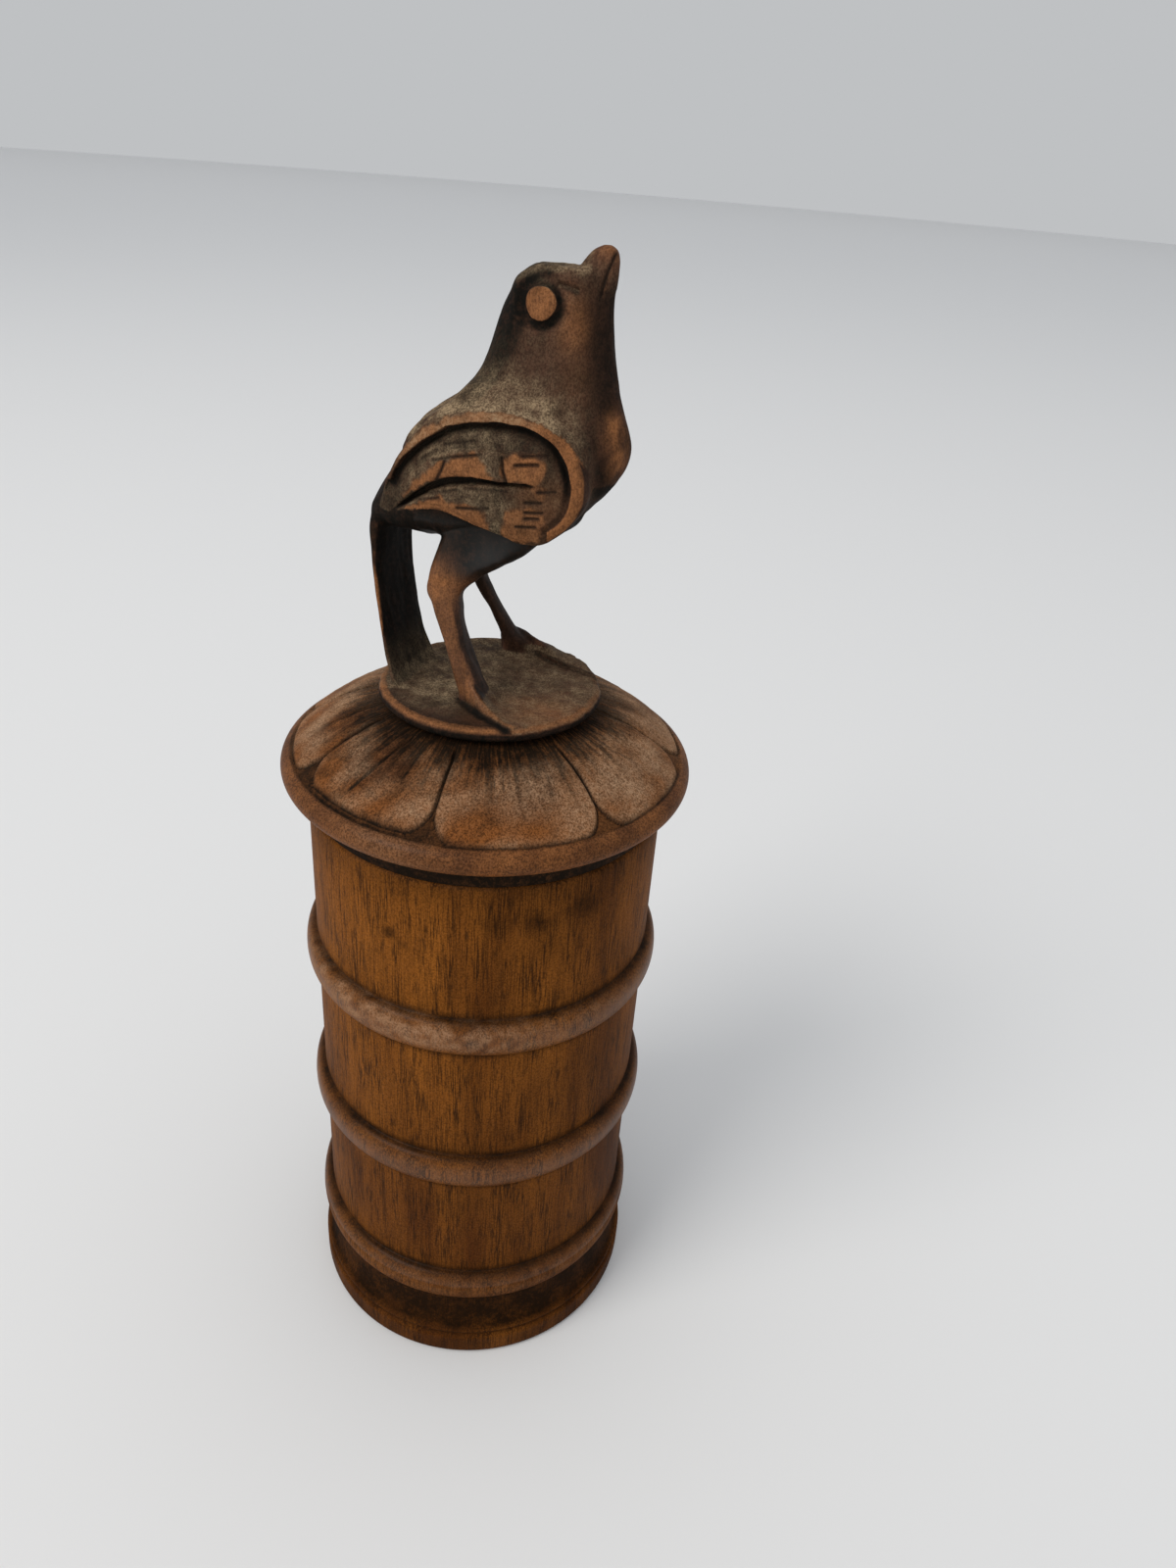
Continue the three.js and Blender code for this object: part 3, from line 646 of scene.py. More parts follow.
def with_modifier(mesh, kind, **settings):
    """A new mesh: the given one after a single modifier."""
    holder = bpy.data.objects.new("holder", mesh)
    bpy.context.scene.collection.objects.link(holder)
    modifier = holder.modifiers.new(kind, kind)
    for key, value in settings.items():
        setattr(modifier, key, value)
    graph = bpy.context.evaluated_depsgraph_get()
    made = bpy.data.meshes.new_from_object(holder.evaluated_get(graph))
    bpy.data.objects.remove(holder)
    return made


rough = mesh_from("bird_forms", *joined(forms), unit=1)
skin = with_modifier(rough, "REMESH", mode="VOXEL", voxel_size=voxel, adaptivity=0)
bird_points, bird_edges = read(skin.vertices, "co"), read(skin.edges, "vertices", 2, int)
print("skin", len(bird_points), "vertices")

# %% [markdown]
# ### Softening
# Where two forms meet there is a hard seam, but a knife and years of handling leave a hollow.
# Moving each point towards the mean of its neighbours, over and over, rounds such seams. A mask
# lets the seams move fully and keeps the crisp edges where they are.


# %% Soften the seams
def inside_outline(a, level, outline):
    """Distance in from a closed outline, negative outside: the winding angle tells which."""
    gap = line_distance(a, level, np.concatenate([outline, outline[:1]]))[0]
    corner = outline - np.stack([a, level], axis=-1)[:, None]
    after = np.roll(corner, -1, axis=1)
    crossed = corner[..., 0] * after[..., 1] - corner[..., 1] * after[..., 0]
    winding = np.arctan2(crossed, (corner * after).sum(-1)).sum(1)
    return np.where(np.abs(winding) > np.pi, gap, -gap)


def soften(points, edges, passes, share=0.5, mask=1.0):
    """Each pass moves a point by share of the way to the mean of its neighbours."""
    near = neighbour_sum(edges, np.ones(len(points)))
    for _ in range(passes):
        mean = np.stack([neighbour_sum(edges, points[:, k]) for k in range(3)], axis=-1) / near[:, None]
        points = points + np.reshape(share * mask, (-1, 1)) * (mean - points)
    return points


def ball(points, centre, size):
    """A soft ball: 1 in the middle, exp(-1) at the given size in each direction."""
    return np.exp(-(((points - centre) / size) ** 2).sum(-1))


bird_points = soften(bird_points, bird_edges, 4)
a, b, lv = bird_points.T
shoulder = np.flatnonzero((lv > 47) & (lv < 72) & (a > -20) & (a < 22) & (np.abs(b) > 4))
outline = through(wing_outline, 90, closed=True)
beyond = np.clip(-inside_outline(a[shoulder], lv[shoulder], outline), 0, None)
reach = wing_surface(a[shoulder], np.minimum(lv[shoulder], 64)) - 0.55 - 1.05 * beyond
lift = np.clip(reach - np.abs(b[shoulder]), 0, None) * ease(lv[shoulder], 49, 58) * (1 - ease(beyond, 4.5, 6))
bird_points[shoulder, 1] += np.sign(b[shoulder]) * lift
a, b, lv = bird_points.T
gap_to_wing = line_distance(a, lv, outline)[0]
wing_edge = (bell(gap_to_wing, 0, 2.2) * ease(lv, 50, 57)
             + 0.5 * bell(gap_to_wing, 0, 1.5) * ease(a, 12, 18)) * (np.abs(b) > 6)
# Where two forms meet: the middle of each seam and its reach.
joints = [
    ((-8.5, -11, 29), (5, 5, 5)), ((-8.5, 11, 29), (5, 5, 5)), ((-23, 0, 36.5), (4, 12, 3)),
    ((-18, -3, 0.5), (3, 14, 1.5)), ((2.5, -16.5, 3), (6.5, 5.5, 5)), ((3, 15, 3), (7, 4.5, 5)),
    ((17.5, 0, 91), (4, 5, 2)), ((4, 0, 36), (12, 9, 2))]
seam = sum(ball(bird_points, centre, size) for centre, size in joints)
bird_points = soften(bird_points, bird_edges, 45, mask=np.clip(wing_edge + seam, 0, 1))
print("softened", int((seam > 0.3).sum()), "points near seams")

# %% [markdown]
# ### Carving the wing
# On the real wing the knife left layers. A rounded rim runs over the top. Inside it lies a sharp
# groove, then a band that rises to a step, then a feather that overhangs a deep dark cut, a
# recessed band, and a second feather along the lower edge. Towards the breast all of it fades
# into a plain field with a few dashes. Each line is given in (a, level) on the wing's face, and
# the height is read between the lines.

# %% Lines of the wing
rim_groove = through([
    (-20.6, 47.2), (-19.3, 50), (-16.5, 53.6), (-13.4, 56.3), (-10.1, 58.6), (-6.7, 60.5), (-2.7, 61.6),
    (1.4, 62.2), (5.1, 62.3), (8.5, 62), (11.4, 61.1), (13.8, 59.9), (15.5, 58.6), (16.8, 56.8), (17.8, 55),
    (18.5, 52.9), (18.9, 51.2), (18.8, 49.3), (18.3, 46.6), (16.9, 44), (14.6, 42)], 70)
step_line = np.array([
    (-21, 44.5), (-17, 48.4), (-14.2, 51.3), (-10.5, 53.9), (-5.9, 55.9), (-0.7, 56.9), (2.4, 57.2),
    (8, 57.5), (14, 57)])
deep_line = np.array([
    (-21.5, 40.4), (-18.7, 42.6), (-15.4, 45.6), (-11.1, 48.7), (-7, 50.4), (-3.2, 51.2), (0.6, 51.4),
    (4.8, 51.2), (8.5, 51.2), (11.2, 51.2), (16, 51)])
lower_line = np.array([
    (-24, 40.6), (-19.9, 41.4), (-16.1, 42.7), (-12.5, 43.7), (-9.2, 43.9), (-6.2, 43.7), (-2.7, 42.5),
    (1, 40.9), (4.3, 39.8), (7.7, 38.8), (11, 38.4), (14, 38.3)])
# Short knife marks: a line, its depth and its half width.
dashes = [
    ([(-7.3, 54.4), (-8.2, 52), (-9.3, 49.8)], 0.4, 0.34),
    ([(4.8, 56.2), (5.2, 53.6), (5.9, 51.6)], 0.75, 0.5), ([(8.9, 56.8), (14.1, 57.3)], 0.65, 0.45),
    ([(7.7, 55), (12.1, 55.4)], 0.7, 0.5), ([(9.9, 47.5), (13.2, 47.8)], 0.6, 0.45),
    ([(9.9, 45.5), (13.6, 45.8)], 0.65, 0.45), ([(9.9, 44.2), (12.8, 44.5)], 0.5, 0.4),
    ([(-4.6, 44.7), (2.2, 45.4)], 0.4, 0.35), ([(-12.5, 46.2), (-5, 48.1)], 0.35, 0.35),
    ([(-14.5, 44.6), (-9, 46)], 0.3, 0.3), ([(-13, 53.4), (-9.6, 55.7)], 0.25, 0.3),
    ([(12.5, 50), (16, 50.4)], 0.3, 0.3), ([(8.2, 42.4), (12.2, 42.6)], 0.35, 0.35),
    ([(-10.2, 53.6), (-6.3, 54.9), (0.4, 56.3)], 0.45, 0.38), ([(-8, 57), (-1, 58.6)], 0.25, 0.35),
    ([(-3, 48.9), (6, 49.4)], 0.25, 0.3)]


def rim_distance(a, level):
    """Distance to the rim's groove, positive on the field inside it, and the share along it."""
    gap, along = line_distance(a, level, rim_groove)
    top = rim_groove[:40]
    front = rim_groove[35:][::-1]
    within = (level < np.interp(a, top[:, 0], top[:, 1])) & (a < np.interp(level, front[:, 1], front[:, 0]))
    return np.where(within, gap, -gap), along


def between(level, knots):
    """Height read from a list of (level, height) pairs that rise, straight between neighbours."""
    height = np.broadcast_to(knots[0][1], level.shape).astype(float)
    for (low, low_height), (high, high_height) in zip(knots[:-1], knots[1:]):
        share = np.clip((level - low) / np.maximum(high - low, 1e-3), 0, 1)
        height = height + share * (high_height - low_height)
    return height


def cut_width(a):
    """Height of the deep cut under the upper feather: widest behind, and closing ahead to a point."""
    return 0.35 + 1.15 * (1 - ease(a, -6, 11)) * ease(a, -20.5, -15)


def wing_relief(a, level):
    """Height of the carved wing over its plain face, never above it."""
    step, deep, low = (np.interp(a, line[:, 0], line[:, 1]) for line in (step_line, deep_line, lower_line))
    share = 1 - ease(a, 8.5, 12.5)
    tail_share = ease(a, -21.5, -17.5)
    middle, wide = low + 0.4 * (deep - low), cut_width(a)
    layers = between(level, [
        (low - 0.4, -0.8), (low + 0.1, -0.3), (low + 0.8, 0), (middle - 0.2, -0.12),
        (middle + 0.6, -0.2 - 0.6 * share * tail_share), (deep - wide - 0.3, -0.4 - 0.9 * share * tail_share),
        (deep - wide + 0.1, -0.5 - 2.3 * share * tail_share), (deep - 0.1, -0.5 - 2.4 * share * tail_share),
        (deep + 0.2, -0.3 + 0.15 * share), (deep + 1.2, -0.28 + 0.28 * share),
        (step - 0.5, -0.35 + 0.25 * share), (step - 0.1, -0.4 + 0.1 * share),
        (step + 0.35, -0.6 - 0.4 * share), (step + 4, -1.1)])
    gap, along = rim_distance(a, level)
    depth = 2.3 * (1 - 0.75 * ease(along, 0.7, 0.95)) * (0.65 + 0.35 * ease(along, 0, 0.15))
    field = -depth + np.clip(gap - 0.6, 0, None) * 0.9
    relief = np.where(gap > 0, np.minimum(layers, field), -depth * ease(gap, -0.45, 0.1))
    for line, deep_cut, half in dashes:
        away = line_distance(a, level, line)[0]
        relief = relief - deep_cut * np.clip(1 - away / half, 0, 1)
    return relief


# %% Carve the wings
a, b, lv = bird_points.T
near_wing = np.flatnonzero(
    (lv > 36) & (lv < 66) & (np.abs(b) > wing_surface(a, lv) - 2.2) & (a > -25) & (a < 23))
edge_share = ease(inside_outline(a[near_wing], lv[near_wing], outline), 0.1, 0.7)
relief = wing_relief(a[near_wing], lv[near_wing]) * edge_share
bird_points[near_wing, 1] += np.sign(b[near_wing]) * relief
print("wing", len(near_wing), "points carved, deepest", round(float(-relief.min()), 2), "mm")

# %% [markdown]
# ### Carving the head, breast and stand
# The eye's disc sits in a sunk almond, a brow line runs ahead of it and a crease lies under it.
# The mouth is a single cut down each side of the beak. The breast has a ridge with a hollow
# behind it, and a thin line follows the stand's edge from toe to toe.


# %% Carve the head, breast and stand
def side_cut(points, line, deep, half, low=3.0):
    """Moves points on both flanks inwards by a V cut along a line given in (a, level)."""
    a, b, lv = points.T
    line = np.array(line, float)
    near = np.flatnonzero((np.abs(b) > low) & (a > line[:, 0].min() - 2) & (a < line[:, 0].max() + 2)
                          & (lv > line[:, 1].min() - 2) & (lv < line[:, 1].max() + 2))
    away, along = line_distance(a[near], lv[near], line)
    fall = deep * np.clip(1 - away / half, 0, 1) * ease(along, 0, 0.08) * (1 - ease(along, 0.85, 1))
    points[near, 1] -= np.sign(b[near]) * fall


a, b, lv = bird_points.T
eye_gap = np.hypot((a - eye_ahead - 0.25 * (a > eye_ahead)) / (1 + 0.12 * (a > eye_ahead)), lv - eye_level)
on_disc = (np.hypot(a - eye_ahead, lv - eye_level) < eye_radius + 0.12) & (np.abs(b) > 7.0)
socket = 0.95 * (1 - ease(eye_gap, 4, 6.2)) * (np.abs(b) > 4.5) * (lv > 78) * ~on_disc
bird_points[:, 1] -= np.sign(b) * socket
side_cut(bird_points, [(11.6, 88.2), (13.8, 88), (16.6, 87.2)], 0.7, 0.7)
side_cut(bird_points, [(2.9, 80.9), (6, 80.1), (10.1, 80.2), (12.6, 81.2)], 0.3, 0.6)
side_cut(bird_points, [(22, 94.4), (21.6, 92.6), (20.9, 90.6), (20.3, 88.4), (20, 85.6)], 0.5, 0.42, low=0.35)
hollow_depth = 0.9 * sum(ball(bird_points, (24.6, side * 7, 53.5), (2.2, 3, 4.2)) for side in (-1, 1))
bird_points[:, 0] -= 0.7 * hollow_depth
bird_points[:, 1] -= 0.6 * np.sign(b) * hollow_depth
line_radius, line_depth, line_half = 25.3, 0.35, 0.45
edge_angle = np.radians(np.linspace(-57, -12, 24))
edge_line = np.column_stack([
    line_radius * np.cos(edge_angle), stand_centre + line_radius * np.sin(edge_angle)])
on_stand = np.flatnonzero((np.abs(lv) < 1) & (np.hypot(a, b - stand_centre) > 22))
away, along = line_distance(a[on_stand], b[on_stand], edge_line)
fall = line_depth * np.clip(1 - away / line_half, 0, 1) * ease(along, 0, 0.1) * (1 - ease(along, 0.85, 1))
bird_points[on_stand, 2] -= fall
carved_region = (lv > 36) & (np.abs(b) > 5)
bird_points = soften(bird_points, bird_edges, 1, mask=carved_region * 0.8)


# %% Knife facets and the tool's unevenness
def move_to(mesh, points):
    """Gives the vertices of a mesh new places."""
    mesh.vertices.foreach_set("co", points.ravel())
    mesh.update()


move_to(skin, bird_points)
facets = 0.1 * waves(bird_points * (1, 1, 0.6), 8, 41) + 0.05 * waves(bird_points * (1, 1, 0.5), 3.2, 42)
quiet = 1 - 0.8 * (bird_points[:, 2] < -1.5)
bird_points += read(skin.vertices, "normal") * (np.clip(facets, -0.25, 0.12) * quiet)[:, None]
move_to(skin, bird_points)
print("facets from", round(float(facets.min()), 2), "to", round(float(facets.max()), 2), "mm")

# %% [markdown]
# ### Fewer faces where it is flat
# The even skin spends as many faces on the flat tail as on the feathers. Collapsing the edges
# that matter least keeps the carving and brings the piece under 200,000 triangles.

# %% Thin the skin and place the bird
goal = 188_000
triangles = triangles_of(skin)
thin = with_modifier(skin, "DECIMATE", ratio=min(1.0, goal / triangles), use_collapse_triangulate=True)
own, own_edges = read(thin.vertices, "co"), read(thin.edges, "vertices", 2, int)
bird_normals = read(thin.vertices, "normal")
own_faces = read(thin.loops, "vertex_index", 1, int).reshape(-1, 3).tolist()
heading, stand_top, offset = math.radians(-16), 195.6, -stand_centre
cos_h, sin_h = math.cos(heading), math.sin(heading)
headed = own @ np.array([[cos_h, sin_h, 0], [-sin_h, cos_h, 0], [0, 0, 1]])
bird_place = np.array([offset * math.sin(-heading), offset * cos_h, stand_top])
bird_mesh = mesh_from("bird_carved", headed + bird_place, own_faces)
print("from", triangles, "to", len(thin.polygons), "triangles")

# %% [markdown]
# ### Where the bird is worn, stained, dusty and painted with light and shade
# Hands rub the high edges down to orange wood, the black stain stays in the hollows, and dust
# lies where nothing wipes it off. The hollows, cuts and undersides are also painted dark as shade,
# and a few edges carry painted highlights. How sharply the surface bends tells high from low: along
# an edge of the mesh the normals spread apart on a ridge and close up in a hollow.

# %% Bend of the surface
one, two = own_edges.T
span = own[two] - own[one]
bend = ((bird_normals[two] - bird_normals[one]) * span).sum(-1) / np.maximum((span**2).sum(-1), 1e-6)
near_count = neighbour_sum(own_edges, np.ones(len(own)))
bend = (np.bincount(one, bend, len(own)) + np.bincount(two, bend, len(own))) / near_count
for _ in range(3):
    bend = 0.4 * bend + 0.6 * neighbour_sum(own_edges, bend) / near_count
ridge, valley = ease(bend, 0.12, 0.75), ease(-bend, 0.1, 0.7)
print("bend from", np.percentile(bend, [1, 50, 99]).round(2), "per mm")

# %% Regions of the bird
a, b, lv = own.T
flank = np.abs(b)
facing_ahead, facing_b, facing_up = bird_normals.T
facing_side, outward = np.abs(facing_b), facing_b * np.sign(b)
body_levels, *body_edges = np.array(body_stations).T[:3]
back_edge, front_edge = (np.interp(lv, body_levels, edge) for edge in body_edges)
uneven, finer = waves(own, 7, 51), waves(own * (1, 1, 0.6), 2.6, 53)

on_face = (flank > wing_surface(a, lv) - 3.8) & (lv > 36.5) & (lv < 66) & (a > -25) & (a < 23)
wing_rows = np.flatnonzero(on_face)
wing_in, rim_gap = np.full(len(own), -9.0), np.full(len(own), 9.0)
wing_in[wing_rows] = inside_outline(a[wing_rows], lv[wing_rows], outline)
rim_gap[wing_rows] = rim_distance(a[wing_rows], lv[wing_rows])[0]
deep, step = (np.interp(a, line[:, 0], line[:, 1]) for line in (deep_line, step_line))
on_wing = on_face & (wing_in > -0.3)
field = on_wing * ease(rim_gap, 0, 0.4)


def patch(centre, size):
    """A soft patch on both flanks, given for the bird's left."""
    return ball(np.column_stack([a, flank, lv]), centre, size)


def stand_patch(centre, size):
    """A soft patch on the stand's top, given in (a, b)."""
    return top * ball(own, (*centre, 0), size)


def area(points, soft=0.45):
    """1 inside an outline drawn in (a, level) on the wing, with an uneven soft edge."""
    mask = np.zeros(len(own))
    gap = inside_outline(a[wing_rows], lv[wing_rows], through(points, 60, closed=True))
    mask[wing_rows] = ease(gap + 0.3 * finer[wing_rows], -soft, soft)
    return mask * on_wing


def mark(line, half, low=2.5):
    """A soft dark line on both flanks, given in (a, level)."""
    return bell(line_distance(a, lv, line)[0], 0, half) * (flank > low)


feathers = np.maximum.reduce([
    area([(-17.6, 44.4), (-14.4, 48.8), (-10.2, 52.3), (-8.2, 53.6), (0.3, 55.9), (1.2, 54), (2.4, 51.8),
          (-4.2, 50.9), (-8.6, 50.1), (-12.8, 48)]),
    area([(4.9, 56.4), (9.4, 56.8), (12.9, 56.5), (13.9, 54.9), (13.2, 52), (7.9, 51.5), (5.9, 51.7),
          (5.1, 54.1)]),
    area([(-17, 41.8), (-13, 44.6), (-9.3, 46), (-5.2, 45.8), (-2.3, 45.4), (1.1, 44.6), (1.7, 39.8),
          (-2.4, 40.4), (-8, 41.8), (-15, 41)]),
    0.8 * area([(5.3, 42.8), (6.3, 45.3), (9, 46.3), (13, 46.2), (14.4, 44.2), (13.2, 40), (8.1, 38.6),
                (5.5, 39)]),
    0.6 * area([(11.2, 51.3), (13.9, 51.5), (14, 48.6), (12, 48.5)])])
beyond_rim, ahead_share = 0.3 * finer - rim_gap, ease(a, 9, 14)
rim_ridge = on_wing * ease(-rim_gap, 0.1, 0.4) * ease(facing_side, 0.25, 0.6) * ease(a, -22, -15)
rim_ridge *= (1 - 0.9 * ease(beyond_rim, 1.4, 2.4) * (1 - ahead_share)
              - 0.75 * ease(beyond_rim, 2.3, 3.4) * ahead_share)
disc = (np.hypot(a - eye_ahead, lv - eye_level) < eye_radius + 0.05) * ease(flank, 7.25, 7.5)
far_side, near_side = b > 0, b < 0
shank = band(lv, 0.8 + 1.5 * far_side, 2.5 + 3 * far_side, 25, 28) * (a > -14) * (a < 6) * (flank > 8)
shank_side = shank * ease(outward, 0.35, 0.7) * (1 - ease(facing_ahead, 0.3, 0.62))
top = (lv > -0.9) * (lv < 2.6) * ease(facing_up, 0.2, 0.5)
near_crest, far_crest = through(right_foot_edge, 40), through(left_foot_edge, 40)
ridge_near, near_along = line_distance(a, b, near_crest)
ridge_far = line_distance(a, b, far_crest)[0]
outer_side = ease(np.interp(a, near_crest[:, 0], near_crest[:, 1]) - b, -0.5, 0.3)
stand_side = (np.hypot(a, b - stand_centre) > 24.6) * (lv < 0.6)
is_tail = ease(-a, 16.5, 18) * (1 - ease(lv, 38, 42)) * (lv > 0.2)
thigh = band(lv, 26.5, 31, 40, 43) * (~on_wing) * (a > -15)
neck = ease(lv, 60, 66)
shaded_nape = neck * (1 - ease(a - back_edge, 5.5, 9))
shaded_throat = neck * (1 - ease(lv, 84, 92)) * ease(a - front_edge, -9, -2.5)
around_rows = np.flatnonzero((flank > 2) & (lv > 40) & (lv < 80) & (a > -30) & (a < 30))
beyond_wing = np.full(len(own), 20.0)
beyond_wing[around_rows] = np.clip(-inside_outline(a[around_rows], lv[around_rows], outline), 0, 20)
above_wing = np.exp(-(beyond_wing / 5) ** 1.3) * (~on_wing) * ease(lv + 0.3 * a, 49, 56)
print("feathers cover", int((feathers > 0.5).sum()), "points")

# %% Cuts and hollows painted as shade, worn and lit edges, and grime of the bird
cut_low = deep - cut_width(a)
eye_hollow = 1 - ease(np.hypot(a - 9.1, (lv - 84) * 0.95), 3.7, 5.4)
# Painted shade: black in the wing's grooves, its deep cut and dashes, the eye's hollow and the brow, mouth
# and under-eye lines, a dark line along the far foot's steep side, and a painted shadow on the stand beside
# the near foot.
shade_in_cuts = np.maximum.reduce([
    on_wing * band(rim_gap, -0.15, 0.1, 0.9, 2.2) * (1 - 0.55 * (1 - ease(lv, 46, 53)) * (a > 5)),
    on_wing * band(lv, cut_low - 0.3, cut_low, deep - 0.05, deep + 0.25) * (1 - ease(a, 10.5, 12)),
    *[0.8 * on_wing * mark(line, 0.42, 8) for line, _, _ in dashes],
    (1 - disc) * (flank > 4) * (lv > 78) * eye_hollow,
    0.75 * mark([(12.6, 87.8), (15.9, 87)], 0.6),
    0.8 * mark([(22.1, 94), (20.9, 90.6), (19.9, 85.5)], 0.4, 0.4),
    0.5 * mark([(3.6, 80.6), (10, 80)], 0.6),
    0.75 * (lv > -0.5) * (lv < 1.5) * bell(ridge_far, 0.3, 0.5) * (facing_up > 0.3),
    top * outer_side * (1 - ease(ridge_near, 0.9, 2.6)) * (1 - ease(near_along, 0.8, 1))])
foot_crest = (lv > 0.3) * (lv < 7) * (a > -3) * (1 - ease(ridge_near, 0.9, 2.2 - 0.9 * near_along))
# Wear on the high edges, with painted highlights along the breast's ridge and along the stand's upper edge on
# the near side.
wear_and_highlight = np.maximum.reduce([
    0.85 * disc,
    0.95 * rim_ridge,
    0.95 * feathers,
    0.3 * field * (1 - ease(lv, 50, 56)) * ease(a, 4, 10),
    0.68 * patch((15.6, 6, 80.5), (3.2, 4, 5.5)),
    0.2 * patch((17, 7, 72), (4, 4, 8)),
    0.75 * patch((21.5, 0, 94.8), (3.4, 3, 2.2)),
    (0.8 + 0.15 * finer) * patch((25.6, 4.6, 61), (2.8, 3.8, 5)),
    (0.75 + 0.15 * finer) * patch((26.8, 4.6, 55.5), (2.6, 3.8, 4)),
    0.35 * patch((20, 9, 44), (5, 5, 5)),
    0.95 * patch((-9.2, 14, 26.5), (5.2, 3.5, 6)) * ease(outward, -0.2, 0.4) * near_side,
    0.55 * shank_side * near_side * (0.8 + 0.2 * ease(lv, 8, 20)),
    0.15 * shank_side,
    0.75 * foot_crest * (1 - outer_side),
    0.2 * ridge * (1 - is_tail),
    0.9 * stand_side * bell(lv, -0.35, 0.5) * (0.45 + 0.55 * ease(-b, -6, 16)),
    0.65 * stand_patch((18, -17), (14, 12, 4)),
    0.15 * top * ease(a, -5, 10),
    0.8 * is_tail * ridge * (facing_b < 0.2) * (a < -24)])
between_feet = (1 - ease(ridge_near, 3.5, 6.5)) * (1 - ease(near_along, 0.45, 0.75)) * (a > -2)
# The tail and thigh are stained dark. Painted shade: the underside, the band under the wing, the nape, the
# throat's front face, the breast's hollow, the recessed band below the upper feather, the stand's underside,
# the hollows where the surface bends in, and the spot beside the near heel.
stain_and_shade = np.maximum.reduce([
    0.97 * is_tail * (1 - 0.6 * ridge),
    0.93 * thigh,
    0.97 * (facing_up < -0.2) * (lv > 32) * (lv < 50),
    0.92 * (~on_wing) * band(lv, 28, 32, 43, 47) * (1 - ease(a, 10, 16)),
    0.97 * shaded_nape,
    0.8 * (lv > 0.2) * (lv < 5) * between_feet,
    0.72 * shaded_throat,
    0.42 * ease(lv, 84, 89) * (a < 19),
    0.9 * patch((23.6, 7, 53.5), (2.2, 2.8, 4.8)),
    0.6 * patch((19, 7, 87), (4, 5, 5)),
    0.48 * (lv > 46) * (lv < 84),
    0.9 * stand_side * ease(-lv, 0.7, 1.4),
    0.8 * field * ease(lv, step - 0.3, step + 0.5),
    0.68 * field * (1 - ease(lv, deep, deep + 0.3)) * (1 - ease(a, 9, 12)),
    0.45 * field,
    0.6 * field * ease(a, 11, 14),
    0.8 * field * (a < -18),
    0.6 * shank * (1 - shank_side),
    0.3 * shank,
    0.6 * shank * far_side,
    0.97 * (lv < -2),
    0.55 * valley,
    0.5 * top,
    0.85 * stand_patch((-5, -17), (6, 3, 3)),
    0.72 * stand_patch((9, -5), (11, 8, 3)),
    0.525 * top * (ridge_far < 9) * ease(b, 9, 13)])
stain_and_shade = np.maximum(stain_and_shade * (1 - 0.85 * np.clip(wear_and_highlight / 0.7, 0, 1)), shade_in_cuts)
dust = np.maximum.reduce([
    0.72 * above_wing * ease(-a, -24, -12),
    0.4 * ease(facing_up, 0.25, 0.7) * band(lv, 48, 54, 62, 72) * (1 - ease(a, -6, 6)),
    0.5 * ease(facing_up, 0.2, 0.85) * (lv > 86) * (0.35 + 0.65 * ease(a, 5, 10)) * (a < 18),
    0.07 * neck * (1 - shaded_throat) * (1 - shaded_nape),
    0.6 * stand_patch((-9, -11), (9, 9, 3)),
    0.3 * stand_patch((2, 15), (14, 7, 3)),
    0.3 * top * (1 - outer_side),
    0.12 * feathers,
    0.3 * field * (1 - ease(a, 2, 12)) * ease(a, -21, -15) * (1 - feathers),
    0.08 * field,
    0.15 * is_tail * (1 - ease(lv, 2, 12))])
dust *= (1 - 0.9 * shade_in_cuts) * (1 - 0.8 * np.clip(wear_and_highlight, 0, 1))
dust = np.maximum(dust, 0.3 * rim_ridge * (1 - ease(a, 6, 14)))
paint(bird_mesh, "wear_and_highlight", wear_and_highlight * (0.92 + 0.08 * uneven + 0.06 * finer) * (1 - shade_in_cuts))
paint(bird_mesh, "grime", stain_and_shade * (0.97 + 0.04 * uneven + 0.04 * finer * (stain_and_shade < 0.8)))
paint(bird_mesh, "dust", dust * (0.85 + 0.2 * waves(own, 5, 52) + 0.15 * finer))
bird_tone = 0.35 + 0.4 * neck * (1 - shaded_throat) + 0.15 * uneven + 0.1 * waves(own * (1, 1, 0.2), 2, 54)
paint(bird_mesh, "tone", bird_tone)
sheen = 0.25 + 0.6 * bell(a, 0.5 * (lv - 30), 5) * bell(lv, 33.5, 5)
paint(bird_mesh, "polish", np.maximum(sheen * thigh * ease(outward, 0.2, 0.6), 0.15 * shank) * (1 - dust))
bird = piece_from(bird_mesh, "lid", "bird")

# %% [markdown]
# ## The finish
# All three pieces are the same kind of wood, with its fibres along the pot's axis. On upright
# faces the fibres show as fine streaks, and on the dome, which cuts across them, as speckles.
# One noise stretched along Z gives both. What differs is what happened to each piece, so one
# node group lays wear, grime and dust over the wood, together with the light and shade painted
# into those masks, and each material gives it its own colours.


# %% Helpers for shader nodes
def srgb(red, green, blue):
    """A colour as measured on a screen, from 0 to 255, in the linear values that shaders use."""
    value = np.array([red, green, blue]) / 255
    return (*np.where(value <= 0.04045, value / 12.92, ((value + 0.055) / 1.055) ** 2.4).tolist(), 1.0)


def add(tree, kind, inputs=None, **settings):
    """Adds a node. An input is given a value, or joined to another node's output."""
    made = tree.nodes.new("ShaderNode" + kind)
    for name, value in settings.items():
        setattr(made, name, value)
    for name, value in (inputs or {}).items():
        if isinstance(value, bpy.types.NodeSocket):
            tree.links.new(value, made.inputs[name])
        else:
            made.inputs[name].default_value = value
    return made


def calc(tree, operation, one, two=0.0, clamp=False):
    """The result of one operation on two numbers."""
    return add(tree, "Math", {0: one, 1: two}, operation=operation, use_clamp=clamp).outputs[0]


